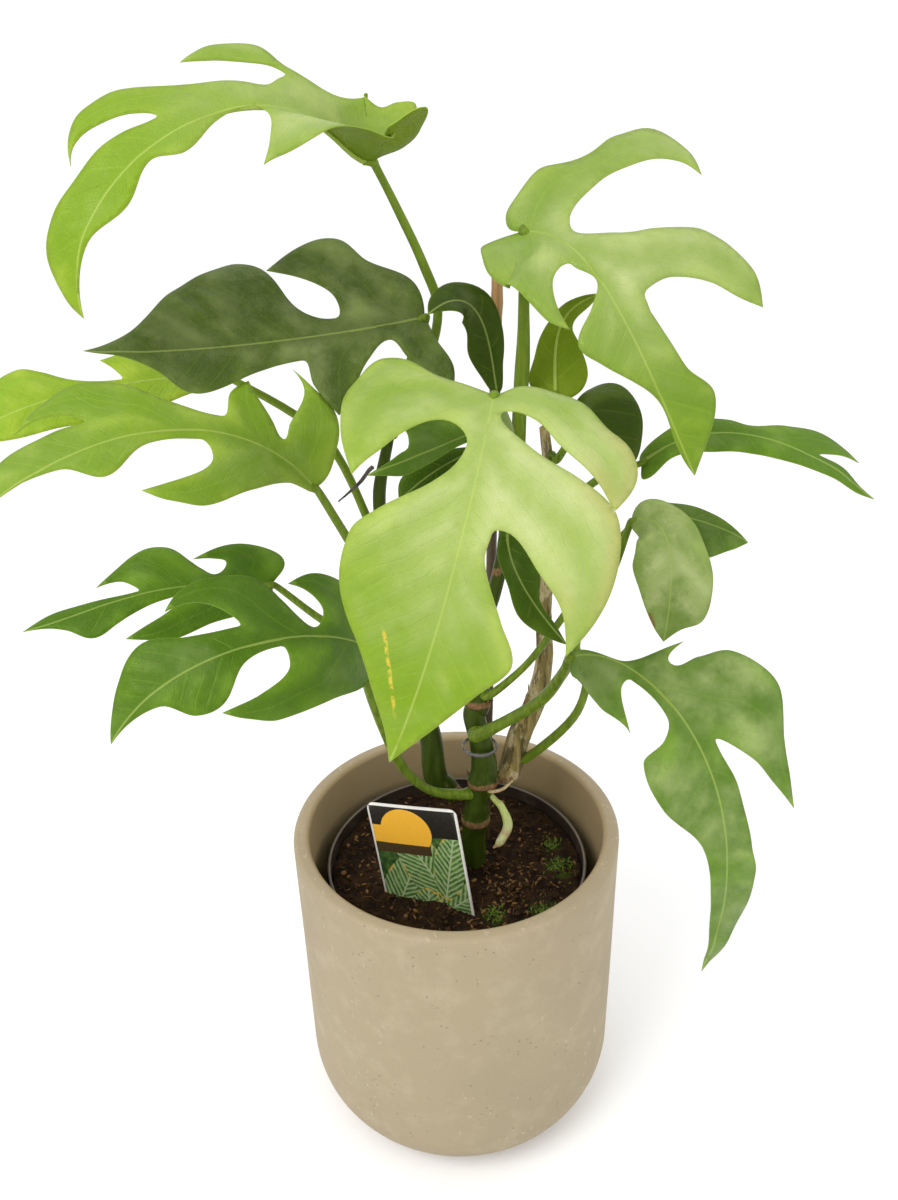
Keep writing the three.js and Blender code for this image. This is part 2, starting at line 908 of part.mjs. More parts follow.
const stalks = {
  top_left: {
    path: [[-24, 21, 399], [-8, 26, 430], [-3, 22, 452], [-9, 16, 472], [-19, 13, 494], [-27, 12, 510]],
    radii: [2.2, 1.7],
  },
  top_right: { path: [[32.5, 9.5, 384], [34, 12, 410], [35, 9, 440], [34, 1, 482]], radii: [3.4, 1.8] },
  upper_left: { path: [[-27, 14, 399], [-18, 16, 425], [-9, 16, 447]], radii: [2.2, 1.7] },
  middle_left: {
    path: [[-29, 7, 287], [-35, 0, 322], [-48, -10, 354], [-58, -18, 379]],
    radii: [2.3, 1.8],
  },
  far_left: { path: [[-38, 19, 346], [-60, 28, 392], [-104, 31, 422]], radii: [2.1, 1.6] },
  front: { path: [[27, -2, 378], [27, -20, 402], [20, -52, 424], [19, -60, 428]], radii: [2.6, 2] },
  lower_left: {
    path: [[1, -7, 203], [-15, -8, 208], [-29, -16, 232], [-40, -38, 288], [-38, -50, 316]],
    radii: [2.5, 1.8],
  },
  low_far_left: {
    path: [[-26.6, 9.2, 262], [-47, 4, 293], [-65, 0, 307], [-84, -1, 325]],
    radii: [2.1, 1.6],
  },
  middle_right: { path: [[54, 9, 360], [75, 9, 376], [88, 9, 380]], radii: [2, 1.5] },
  grey_right: {
    path: [
      [40, 6, 217], [62, -7, 250], [68, -8, 275], [62, -7, 292],
      [67, -10, 314], [77, -14, 336], [83, -13, 357],
    ],
    radii: [2.1, 1.6],
  },
  back_right: {
    path: [[19, -2, 262], [38, -8, 284], [55, -14, 314], [76, -2, 340], [92, 10, 353]],
    radii: [1.8, 1.4],
  },
  lower_right: {
    path: [[12, -6, 240], [30, -16, 257], [43, -30, 276], [50, -50, 302], [51, -57, 312]],
    radii: [3, 2.2],
  },
  centre_hook: { path: [[23, 3, 404], [23, 6, 413]], radii: [2.2, 1.6] },
  centre_back: { path: [[47, 16, 401], [50, 15, 407]], radii: [1.8, 1.4] },
  round_right: { path: [[52, 10, 384], [58, 9, 396], [59, 8, 408]], radii: [1.8, 1.4] },
  inner_left: { path: [[22, -2, 390], [18, -12, 400], [14, -19, 403]], radii: [1.8, 1.3] },
  inner_dark: { path: [[23, 0, 372], [19, -6, 386], [16, -7, 392]], radii: [1.8, 1.3] },
  hanging: { path: [[26, 1, 344], [26, -16, 358], [26, -28, 366]], radii: [1.8, 1.3] },
};

for (const [name, leaf] of Object.entries(leaves)) {
  const { path, radii } = stalks[name];
  const thickness = path.map((_, i) => lerp(radii[0], radii[1], i / (path.length - 1)));
  add(`leaf_${name}`, bladeGeometry(leaf), LEAF_GREEN, 0.4);
  add(`stalk_${name}`, limb(path, thickness, STALK_SIDES, 2), STALK_GREEN, 0.5);
}

// ---- Stems and what grows from them ----

const mainPath = [
  [9, 0, 126], [9, 0, 149], [10, -1, 172], [11, -2, 183], [12, -1, 195],
  [15, 0, 207], [16, 1, 217], [14, 2, 232], [11, 4, 246], [13, 6, 254],
  [14, 6, 290], [22, 6, 318], [27, 6, 345], [27, 5, 376], [23, 3, 402],
];
const mainRadii = [7, 7.4, 6.6, 7.6, 6.4, 8, 7, 6, 6, 6.6, 4.2, 3.6, 3.4, 3.2, 2.4];
add("main_stem", limb(mainPath, mainRadii, MAIN_STEM_SIDES, 2), STEM_GREEN);

const leftPath = [
  [1, 5, 193], [-5, 7, 198], [-11, 8, 206], [-13, 10, 230], [-18, 12, 252],
  [-24, 13, 290], [-31, 15, 332], [-34, 16, 364], [-28, 17, 394],
];
const leftRadii = [5, 6, 6.6, 6.2, 5, 4, 3.4, 3.2, 2.6];
add("left_stem", limb(leftPath, leftRadii, SIDE_STEM_SIDES, 2), SIDE_STEM_GREEN);

const rightPath = [
  [26, 5, 203], [31, 9, 209], [36, 12, 228], [45, 15, 249], [49, 16, 273],
  [48, 15, 298], [49, 14, 332], [50, 14, 364], [46, 16, 398],
];
const rightRadii = [5, 6.6, 6.4, 5.6, 4.6, 4, 3.6, 3.4, 2.4];
add("right_stem", limb(rightPath, rightRadii, SIDE_STEM_SIDES, 2), BARK);

const canePath = [[16.5, 20, 110], [24, 21, 466]];
add("support_cane", limb(canePath, [CANE_RADIUS, CANE_RADIUS], CANE_SIDES, 4), CANE);

const clipProfile = [
  [CLIP_INNER_RADIUS, CLIP_BOTTOM],
  [CLIP_OUTER_RADIUS, CLIP_BOTTOM],
  [CLIP_OUTER_RADIUS, CLIP_TOP],
  [CLIP_INNER_RADIUS, CLIP_TOP],
  [CLIP_INNER_RADIUS, CLIP_BOTTOM],
];
add("clip_ring", turned(clipProfile, CLIP_SEGMENTS).translate(...CLIP_CENTRE, 0), CLIP, 0.3);

const aerialPath = [[-38.4, 13, 379], [-43, 10, 374], [-53, 8, 366]];
add("aerial_root", limb(aerialPath, [1, 0.9, 0.5], ROOT_SIDES), DARK_ROOT);
const smallRootPath = [[20, -8, 205], [26, -8, 207], [31, -4, 209]];
add("small_root", limb(smallRootPath, [1, 0.9, 0.6], ROOT_SIDES), PALE_ROOT);
const shootPath = [[21.5, -6, 198], [25, -10, 196], [28, -15, 188], [24, -18, 180], [20, -19, 176]];
add("young_shoot", limb(shootPath, [1.6, 2, 2.6, 2.4, 0.8], SHOOT_SIDES, 3), SHOOT_GREEN);

// ---- Label ----

const half = LABEL_WIDTH / 2;
const outline = new THREE.Shape();
outline.moveTo(-half + LABEL_TAPER, 0);
outline.lineTo(half - LABEL_TAPER, 0);
outline.lineTo(half, LABEL_TAPER);
outline.lineTo(half, LABEL_LENGTH - LABEL_CORNER);
outline.absarc(half - LABEL_CORNER, LABEL_LENGTH - LABEL_CORNER, LABEL_CORNER, 0, Math.PI / 2);
outline.lineTo(-half + LABEL_CORNER, LABEL_LENGTH);
outline.absarc(-half + LABEL_CORNER, LABEL_LENGTH - LABEL_CORNER, LABEL_CORNER, Math.PI / 2, Math.PI);
outline.lineTo(-half, LABEL_TAPER);
outline.closePath();

function placedLabel(thickness, widen = 0) {
  const settings = { depth: thickness, bevelEnabled: false, curveSegments: 4 };
  const shape = new THREE.ExtrudeGeometry(outline, settings);
  shape.scale(1 + widen / half, 1, 1).translate(0, -widen, -thickness / 2).rotateX(Math.PI / 2);
  shape.rotateY(rad(LABEL_TILT)).rotateX(rad(-LABEL_LEAN)).rotateZ(rad(LABEL_TURN));
  return shape.translate(...LABEL_FOOT.toArray());
}
add("plant_label", placedLabel(LABEL_THICKNESS), CARD, 0.35);

// ---- Soil, with room cut for what is pushed into it ----

const wasm = await Module();
wasm.setup();

function solid(geometry) {
  const merged = mergeVertices(new THREE.BufferGeometry().setAttribute("position", flat(geometry)), 1e-3);
  return new wasm.Manifold(
    new wasm.Mesh({
      numProp: 3,
      vertProperties: merged.attributes.position.array,
      triVerts: new Uint32Array(merged.index.array),
    }),
  );
}

const flat = (geometry) => (geometry.index ? geometry.toNonIndexed() : geometry).getAttribute("position");

function geometryOf(manifold) {
  const mesh = manifold.getMesh();
  const geometry = new THREE.BufferGeometry();
  geometry.setAttribute("position", new THREE.BufferAttribute(Float32Array.from(mesh.vertProperties), 3));
  geometry.setIndex([...mesh.triVerts]);
  geometry.computeVertexNormals();
  return geometry;
}

const soilFloor = nurseryFloor + NURSERY_WALL + CLEARANCE;
const soilRadiusAt = (z) => {
  const k = (z - nurseryFloor) / (NURSERY_TOP - nurseryFloor);
  return lerp(NURSERY_FOOT_RADIUS, NURSERY_TOP_RADIUS, k) - NURSERY_WALL - CLEARANCE;
};
const soilBody = turned(
  [
    [0, soilFloor],
    [soilRadiusAt(soilFloor), soilFloor],
    [soilRadiusAt(SOIL_TOP), SOIL_TOP],
    [soilRadiusAt(SOIL_TOP) * 0.6, SOIL_TOP + SOIL_CROWN * 0.7],
    [0, SOIL_TOP + SOIL_CROWN],
  ],
  SOIL_SEGMENTS,
);
const stemGap = 1;
const stemHolePath = [[9, 0, 125], ...mainPath.slice(1, 3)];
const stemHoleRadii = mainRadii.slice(0, 3).map((r) => r + stemGap);
const stemHole = limb(stemHolePath, stemHoleRadii, MAIN_STEM_SIDES, 2);
const caneHole = limb(canePath, [CANE_HOLE_RADIUS, CANE_HOLE_RADIUS], CANE_SIDES, 4).translate(0, 0, -1);
const labelSlot = placedLabel(LABEL_THICKNESS + 2 * CLEARANCE, CLEARANCE);
const soil = solid(soilBody).subtract(solid(stemHole)).subtract(solid(caneHole)).subtract(solid(labelSlot));
add("soil", geometryOf(soil), SOIL, 0.95);

export default plant;
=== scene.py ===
"""A potted mini monstera: pot, soil, label, stems and lobed leaves, each with its own procedural finish."""
import bisect
import math
import random

import bpy
from mathutils import Matrix, Vector, kdtree, noise
from mathutils.geometry import delaunay_2d_cdt


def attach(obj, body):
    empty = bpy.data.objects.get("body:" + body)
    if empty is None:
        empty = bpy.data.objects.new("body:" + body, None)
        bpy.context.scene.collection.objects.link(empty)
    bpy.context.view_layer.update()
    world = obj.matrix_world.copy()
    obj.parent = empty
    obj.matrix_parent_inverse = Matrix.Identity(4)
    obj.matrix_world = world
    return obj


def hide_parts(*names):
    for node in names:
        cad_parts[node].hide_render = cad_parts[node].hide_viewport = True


bl_info = {
    "name": "Potted monstera",
    "version": (1, 0, 0),
    "blender": (4, 5, 0),
    "location": "View3D > Sidebar > Potted monstera",
    "description": "Builds a potted mini monstera on its CAD frame",
    "category": "Object",
}

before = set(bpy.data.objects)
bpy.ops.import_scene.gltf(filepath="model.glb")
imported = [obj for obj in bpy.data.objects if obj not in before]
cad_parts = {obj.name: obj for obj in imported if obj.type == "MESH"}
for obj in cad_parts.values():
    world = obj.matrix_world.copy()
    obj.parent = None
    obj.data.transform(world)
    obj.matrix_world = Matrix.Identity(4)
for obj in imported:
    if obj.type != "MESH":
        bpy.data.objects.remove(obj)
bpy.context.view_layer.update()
MM = 0.001

# Pots and soil, in mm, as the CAD source has them
POT_RADIUS = 90
POT_HEIGHT = 181
POT_WALL = 8.7
POT_FLOOR = 14
POT_FOOT_RADIUS = 54
POT_FOOT_ROUND = 36
POT_RIM_ROUND = 3
POT_FLOOR_ROUND = 4
NURSERY_TOP_RADIUS = 73
NURSERY_FOOT_RADIUS = 62
NURSERY_WALL = 1.2
NURSERY_FLOOR = 14.4
NURSERY_TOP = 156
SOIL_TOP = 149
SOIL_CROWN = 3

# Label, in mm and degrees
LABEL_WIDTH = 52
LABEL_LENGTH = 86
LABEL_THICKNESS = 1
LABEL_CORNER = 4
LABEL_TAPER = 14
LABEL_FOOT = (-12.5, -34, 125)
LABEL_TURN = -23
LABEL_LEAN = 3
LABEL_TILT = -9.5

# Leaves: the way an outline first leaves the stalk, and lengths in mm
LEAD = (-0.3, 0.8)
OUTLINE_STEP = 1.6
VEIN_GAP = 15
VEIN_TO_MARGIN = 2.2
SIDE_VEIN_GAP = 6.5
LONG_BLADE = 90
WAVE_SIZE = 16
WAVE_REACH = 9
SWELL_SIZE = 38
SWELL_HEIGHT = 1.4

# Stems, in mm
CANE_RADIUS = 2.6
CLIP_CENTRE = (13.8, 1.5)
CLIP_HEIGHT = 228.2
CLIP_RADIUS = 9.1

# Stage, in metres, and the camera's sensor in mm
SENSOR_WIDTH = 36
KEY_PLACE = (-0.75, -0.75, 1.35)
KEY_SIZE = 0.8
FILL_PLACE = (1.1, -0.7, 0.7)
FILL_SIZE = 0.9
LIGHT_TARGET = (0, 0, 0.3)


def blade_lobe(back, tip, front, notch):
    """A lobe of a margin: its back, its tip, its front, and the notch that comes after it."""
    return {"back": back, "tip": tip, "front": front, "notch": notch}


def blade_side(lift, curl, end, *lobes, lead=LEAD):
    """One side of a blade: its lobes, then the points of its margin up to the leaf's tip."""
    return {"lift": lift, "curl": curl, "end": end, "lobes": lobes, "lead": lead}


# Each leaf blade, in mm and degrees: its midrib, which way it faces at its foot and its tip, and its two
# sides. Outlines are flat: the first number runs along the midrib, the second out from it.
LEAVES = {
    "top_left": {
        "rib": [(-28, 10, 513), (-48, 4, 512), (-38, -25, 568), (-146, -52, 518), (-135, -56, 461)],
        "face": [(0.15, -0.35, 0.93), (-0.35, -0.8, 0.3)],
        "left": blade_side(
            (50, -5, -5), 6, [(73, 3), (91, 10), (103, 4), (123, 10), (141, 3)],
            blade_lobe(
                [(-10, 12), (-13, 27), (-9, 42), (0, 26), (14, 21), (30, 22), (44, 26)],
                (68, 31), [(53, 5), (60, 21)], (57, 0),
            ),
        ),
        "right": blade_side(
            (45, 12, 8), 6, [(104, 12), (124, 14), (146, 15), (162, 6)],
            blade_lobe(
                [
                    (-16, 11), (-22, 23), (-14, 24), (-6, 22), (4, 28),
                    (21, 19), (38, 22), (47, 35), (61, 34),
                ],
                (73, 27), [(43, 15), (40, 19), (52, 24)], (50, 10),
            ),
            blade_lobe(
                [(59, 13), (80, 19), (98, 29), (111, 30)],
                (123, 18), [(93, 13), (107, 21), (117, 22)], (91, 9),
            ),
            lead=(-0.8, 0.6),
        ),
    },
    "top_right": {
        "rib": [(33, -2, 485), (57, -15, 487), (65, -58, 464), (101, -50, 393)],
        "face": [(0, -0.8, 0.6), (0.2, -0.9, 0.4)],
        "left": blade_side(
            (4, 4, 4), 10, [(68, 11), (93, 15), (110, 22), (126, 10)],
            blade_lobe(
                [(-7, 2), (-9, 10), (-3, 26), (7, 40), (10, 59), (16, 71)],
                (28, 66), [(14, 13), (14, 32), (17, 48), (22, 63)], (20, 7),
            ),
            blade_lobe(
                [(32, 17), (38, 32), (46, 49), (69, 59)],
                (87, 57), [(58, 15), (58, 26), (67, 40), (79, 49)], (61, 12),
            ),
            lead=(-0.95, 0.1),
        ),
        "right": blade_side(
            (0, 0, 0), 8, [(45, 1), (55, 9), (66, 21), (77, 16), (98, 2), (123, 2)],
            blade_lobe(
                [(-17, 6), (-16, 11), (-10, 20), (3, 27), (26, 29), (50, 27)],
                (59, 21), [(31, 9), (35, 15), (46, 20)], (33, 5),
            ),
            lead=(-0.95, 0.2),
        ),
    },
    "upper_left": {
        "rib": [(-9, 14, 450), (-38, 10, 444), (-115, -22, 440), (-141, -44, 448)],
        "face": [(0, -0.5, 0.86), (-0.1, -0.5, 0.8)],
        "left": blade_side(
            (-16, -18, -18), 8, [(72, 12), (100, 21), (110, 20), (120, 8), (133, 2)],
            blade_lobe([(-2, 12), (-6, 26)], (-4, 36), [(13, 18), (8, 27)], (19, 8)),
            blade_lobe([(30, 15), (41, 29)], (50, 39), [(57, 23)], (59, 11)),
        ),
        "right": blade_side(
            (30, 26, 20), 8, [(53, 13), (65, 35), (79, 40), (104, 29), (126, 10)],
            blade_lobe([(1, 18), (18, 32), (28, 46), (45, 45)], (63, 34), [(37, 18), (47, 28)], (39, 7)),
        ),
    },
    "middle_left": {
        "rib": [(-59, -20, 382), (-81, -45, 427), (-128, -67, 430), (-175, -86, 397)],
        "face": [(0, -0.55, 0.83), (-0.3, -0.6, 0.7)],
        "left": blade_side(
            (-4, -4, 0), 6, [(83, 5), (104, 16), (118, 4)],
            blade_lobe([(17, 9), (40, 24), (66, 36), (83, 34)], (93, 27), [(59, 14), (72, 23)], (63, 4)),
        ),
        "right": blade_side(
            (62, 14, 4), 2, [(114, 14), (136, 14)],
            blade_lobe([(10, 20), (17, 29), (26, 33)], (32, 37), [(27, 14), (27, 29)], (27, 7)),
            blade_lobe([(33, 12), (40, 21)], (43, 27), [(49, 20)], (53, 8)),
            blade_lobe([(72, 13), (89, 27), (106, 31)], (127, 23), [(106, 18), (118, 23)], (103, 13)),
        ),
    },
    "far_left": {
        "rib": [(-107, 30, 425), (-162, 20, 421), (-177, 2, 425), (-220, -8, 404)],
        "face": [(0, -0.5, 0.86), (-0.2, -0.6, 0.8)],
        "left": blade_side((-20, -20, -20), 6, [(23, 12), (50, 16), (78, 15), (104, 10)]),
        "right": blade_side(
            (16, 16, 10), 4, [(64, 6), (77, 16), (87, 22), (104, 16)],
            blade_lobe([(6, 13), (30, 19)], (52, 15), [(47, 9)], (45, 3)),
        ),
    },
    "front": {
        "rib": [(18, -62, 431), (9, -119, 414), (-6, -127, 352), (-25, -124, 307)],
        "face": [(0, -0.55, 0.83), (-0.15, -0.95, 0.3)],
        "left": blade_side(
            (4, 4, 4), 10, [(72, 10), (90, 21), (99, 28), (105, 29), (117, 21), (140, 8)],
            blade_lobe(
                [(-6, 10), (-2, 28), (15, 45), (30, 56)],
                (46, 50), [(12, 13), (24, 26), (38, 43)], (13, 4),
            ),
            blade_lobe(
                [(26, 15), (37, 35), (47, 51), (71, 55)],
                (95, 46), [(61, 17), (71, 29), (81, 40)], (62, 10),
            ),
        ),
        "right": blade_side(
            (4, 4, 4), 10, [(46, 14), (62, 32), (73, 40), (97, 38), (116, 25), (141, 9)],
            blade_lobe(
                [(-6, 16), (-20, 46), (-1, 56), (28, 54)],
                (51, 44), [(20, 14), (25, 26), (40, 38)], (30, 6),
            ),
        ),
    },
    "lower_left": {
        "rib": [(-38, -52, 319), (-58, -78, 347), (-109, -116, 352), (-133, -112, 310)],
        "face": [(0, -0.6, 0.8), (-0.25, -0.8, 0.5)],
        "left": blade_side(
            (-6, -6, -4), 8, [(66, 6), (81, 18), (94, 17), (104, 6)],
            blade_lobe([(-1, 16), (31, 28), (61, 32), (76, 27)], (84, 21), [(49, 13), (65, 20)], (49, 3)),
        ),
        "right": blade_side(
            (10, 10, 8), 6, [(82, 12), (97, 19), (111, 12), (125, 4)],
            blade_lobe([(-1, 20), (13, 28), (26, 29)], (38, 24), [(25, 11), (28, 19)], (31, 4)),
            blade_lobe([(42, 16), (51, 27), (67, 32), (77, 31)], (85, 25), [(66, 17), (74, 24)], (63, 9)),
        ),
    },
    "low_far_left": {
        "rib": [(-87, -2, 328), (-145, -22, 341), (-155, -27, 330), (-192, -44, 326)],
        "face": [(0, -0.5, 0.86), (-0.2, -0.5, 0.8)],
        "left": blade_side(
            (-10, -10, -10), 8, [(55, 6), (76, 12), (88, 14), (97, 6), (104, 2)],
            blade_lobe([(6, 12), (30, 20), (52, 26)], (74, 20), [(42, 6), (55, 14)], (38, 4)),
        ),
        "right": blade_side(
            (10, 10, 10), 4, [(76, 3), (99, 5)],
            blade_lobe([(-7, 13), (3, 21), (20, 22)], (36, 15), [(21, 12), (27, 15)], (27, 6)),
            blade_lobe([(33, 10), (37, 14), (46, 23), (57, 23)], (79, 10), [(64, 6), (69, 10)], (62, 2)),
        ),
    },
    "middle_right": {
        "rib": [(91, 8, 382), (131, 1, 418), (189, -26, 373)],
        "face": [(0, -0.5, 0.85), (0.2, -0.5, 0.85)],
        "left": blade_side(
            (10, 8, 6), 4, [(98, 3)],
            blade_lobe([(16, 8)], (32, 9), [(42, 8)], (50, 6)),
            blade_lobe([(66, 12), (82, 16)], (100, 13), [(91, 9)], (84, 3)),
        ),
        "right": blade_side((-10, -8, -6), 4, [(-3, 8), (15, 7), (42, 11), (78, 8), (106, 3)]),
    },
    "grey_right": {
        "rib": [(84, -14, 361), (105, -31, 375), (96, -44, 313)],
        "face": [(0.1, -0.7, 0.7), (0.1, -0.95, 0.2)],
        "left": blade_side((0, 0, 0), 8, [(3, 9), (13, 13), (26, 17), (44, 20), (59, 17), (64, 7)]),
        "right": blade_side((0, 0, 0), 8, [(31, 17), (47, 14), (63, 6)]),
    },
    "back_right": {
        "rib": [(95, 10, 356), (122, 1, 358), (140, -12, 348)],
        "face": [(0.1, -0.5, 0.85), (0.3, -0.5, 0.8)],
        "left": blade_side((10, 10, 10), 4, [(2, 7), (13, 7), (27, 7), (40, 4)]),
        "right": blade_side((-10, -10, -10), 4, [(13, 15), (35, 21), (47, 10)]),
    },
    "lower_right": {
        "rib": [(51, -60, 315), (77, -72, 333), (128, -129, 300), (114, -96, 164)],
        "face": [(0, -0.7, 0.7), (0.1, -0.85, 0.5)],
        "left": blade_side(
            (6, 4, 0), 10, [(92, 9), (123, 11), (137, 13), (171, 8)],
            blade_lobe([(24, 1), (31, 8)], (43, 38), [(38, 24)], (40, 12)),
            blade_lobe([(45, 23), (51, 36), (67, 43), (84, 35)], (111, 31), [(85, 18), (99, 25)], (74, 7)),
        ),
        "right": blade_side(
            (0, 0, 0), 10, [(55, 5), (62, 12), (66, 24), (92, 24), (119, 10), (150, 6)],
            blade_lobe([(0, 9), (27, 21), (48, 21)], (59, 25), [(31, 9), (39, 16)], (32, 4)),
        ),
    },
    "centre_hook": {
        "rib": [(23, 6, 417), (20, 5, 435), (18, 3, 471), (-7, -16, 455)],
        "face": [(0, -0.9, 0.5), (-0.2, -0.8, 0.6)],
        "left": blade_side((0, 0, 0), 10, [(8, 6), (20, 10), (32, 8), (46, 8), (56, 5)]),
        "right": blade_side((0, 0, 0), 10, [(14, 5), (30, 8), (48, 9), (60, 6)]),
    },
    "centre_back": {
        "rib": [(51, 14, 411), (51, 26, 433), (49, 26, 451), (69, 14, 458)],
        "face": [(0.2, 0.75, -0.6), (0.3, 0.7, 0.6)],
        "left": blade_side((10, 10, 10), 10, [(3, 11), (12, 15), (28, 10), (36, 5), (51, 4)]),
        "right": blade_side((10, 10, 10), 10, [(8, 12), (21, 10), (34, 6), (47, 3)]),
    },
    "round_right": {
        "rib": [(59, 7, 411), (71, -8, 409), (82, -13, 384)],
        "face": [(0.1, -0.6, 0.75), (0.3, -0.8, 0.5)],
        "left": blade_side((10, 10, 10), 8, [(-1, 10), (7, 20), (20, 19), (35, 10)]),
        "right": blade_side((0, 0, 0), 8, [(11, 13), (27, 15), (39, 9)]),
    },
    "inner_left": {
        "rib": [(13, -20, 406), (-9, -29, 400), (-34, -42, 394)],
        "face": [(0, -0.7, 0.7), (0, -0.7, 0.7)],
        "left": blade_side((0, 0, 0), 4, [(16, 4), (38, 6), (47, 3)]),
        "right": blade_side(
            (14, 14, 14), 4, [(42, 2)],
            blade_lobe([(4, 8), (19, 13)], (31, 15), [(29, 10)], (33, 4)),
        ),
    },
    "inner_dark": {
        "rib": [(15, -8, 395), (-4, -18, 392), (-22, -28, 378)],
        "face": [(0, -0.7, 0.7), (0, -0.7, 0.7)],
        "left": blade_side((0, 0, 0), 4, [(7, 10), (26, 12), (39, 7)]),
        "right": blade_side((0, 0, 0), 4, [(7, 4), (22, 7), (38, 7)]),
    },
    "hanging": {
        "rib": [(26, -30, 365), (23, -35, 345), (51, -52, 317)],
        "face": [(0.2, -0.85, 0.5), (0, -0.9, 0.3)],
        "left": blade_side((0, 0, 0), 6, [(10, 10), (27, 9), (37, 3), (50, 2)]),
        "right": blade_side((0, 0, 0), 6, [(8, 5), (24, 6), (38, 9), (51, 5)]),
    },
}

# Each leaf stalk: its path, and its radius at the foot and at the blade, in mm
STALKS = {
    "top_left": (
        [(-24, 21, 399), (-8, 26, 430), (-3, 22, 452), (-9, 16, 472), (-19, 13, 494), (-27, 12, 510)],
        (2.2, 1.7),
    ),
    "top_right": ([(32.5, 9.5, 384), (34, 12, 410), (35, 9, 440), (34, 1, 482)], (3.4, 1.8)),
    "upper_left": ([(-27, 14, 399), (-18, 16, 425), (-9, 16, 447)], (2.2, 1.7)),
    "middle_left": ([(-29, 7, 287), (-35, 0, 322), (-48, -10, 354), (-58, -18, 379)], (2.3, 1.8)),
    "far_left": ([(-38, 19, 346), (-60, 28, 392), (-104, 31, 422)], (2.1, 1.6)),
    "front": ([(27, -2, 378), (27, -20, 402), (20, -52, 424), (19, -60, 428)], (2.6, 2)),
    "lower_left": (
        [(1, -7, 203), (-15, -8, 208), (-29, -16, 232), (-40, -38, 288), (-38, -50, 316)],
        (2.5, 1.8),
    ),
    "low_far_left": ([(-26.6, 9.2, 262), (-47, 4, 293), (-65, 0, 307), (-84, -1, 325)], (2.1, 1.6)),
    "middle_right": ([(54, 9, 360), (75, 9, 376), (88, 9, 380)], (2, 1.5)),
    "grey_right": (
        [
            (40, 6, 217), (62, -7, 250), (68, -8, 275), (62, -7, 292),
            (67, -10, 314), (77, -14, 336), (83, -13, 357),
        ],
        (2.1, 1.6),
    ),
    "back_right": (
        [(19, -2, 262), (38, -8, 284), (55, -14, 314), (76, -2, 340), (92, 10, 353)],
        (1.8, 1.4),
    ),
    "lower_right": (
        [(12, -6, 240), (30, -16, 257), (43, -30, 276), (50, -50, 302), (51, -57, 312)],
        (3, 2.2),
    ),
    "centre_hook": ([(23, 3, 404), (23, 6, 413)], (2.2, 1.6)),
    "centre_back": ([(47, 16, 401), (50, 15, 407)], (1.8, 1.4)),
    "round_right": ([(52, 10, 384), (58, 9, 396), (59, 8, 408)], (1.8, 1.4)),
    "inner_left": ([(22, -2, 390), (18, -12, 400), (14, -19, 403)], (1.8, 1.3)),
    "inner_dark": ([(23, 0, 372), (19, -6, 386), (16, -7, 392)], (1.8, 1.3)),
    "hanging": ([(26, 1, 344), (26, -16, 358), (26, -28, 366)], (1.8, 1.3)),
}


# ---- Shader maths and node helpers ----


class Value:
    """A socket that can be used in Python arithmetic; each step adds a Math node."""

    def __init__(self, finish, socket):
        self.finish = finish
        self.socket = socket

    def maths(self, operation, *values):
        return self.finish.node("ShaderNodeMath", {"operation": operation}, dict(enumerate(values)))

    def __add__(self, other):
        return self.maths("ADD", self, other)

    __radd__ = __add__

    def __sub__(self, other):
        return self.maths("SUBTRACT", self, other)

    def __rsub__(self, other):
        return self.maths("SUBTRACT", other, self)

    def __mul__(self, other):
        return self.maths("MULTIPLY", self, other)

    __rmul__ = __mul__

    def __truediv__(self, other):
        return self.maths("DIVIDE", self, other)

    def __pow__(self, other):
        return self.maths("POWER", self, other)

    def __abs__(self):
        return self.maths("ABSOLUTE", self)

    def fraction(self):
        return self.maths("FRACT", self)

    def sine(self):
        return self.maths("SINE", self)

    def least(self, other):
        return self.maths("MINIMUM", self, other)

    def most(self, other):
        return self.maths("MAXIMUM", self, other)

    def ramp(self, low, high, start=0.0, end=1.0):
        """Smooth step from start, at low and below, to end, at high and above."""
        return self.finish.node(
            "ShaderNodeMapRange",
            {"interpolation_type": "SMOOTHSTEP"},
            {"Value": self, "From Min": low, "From Max": high, "To Min": start, "To Max": end},
        )


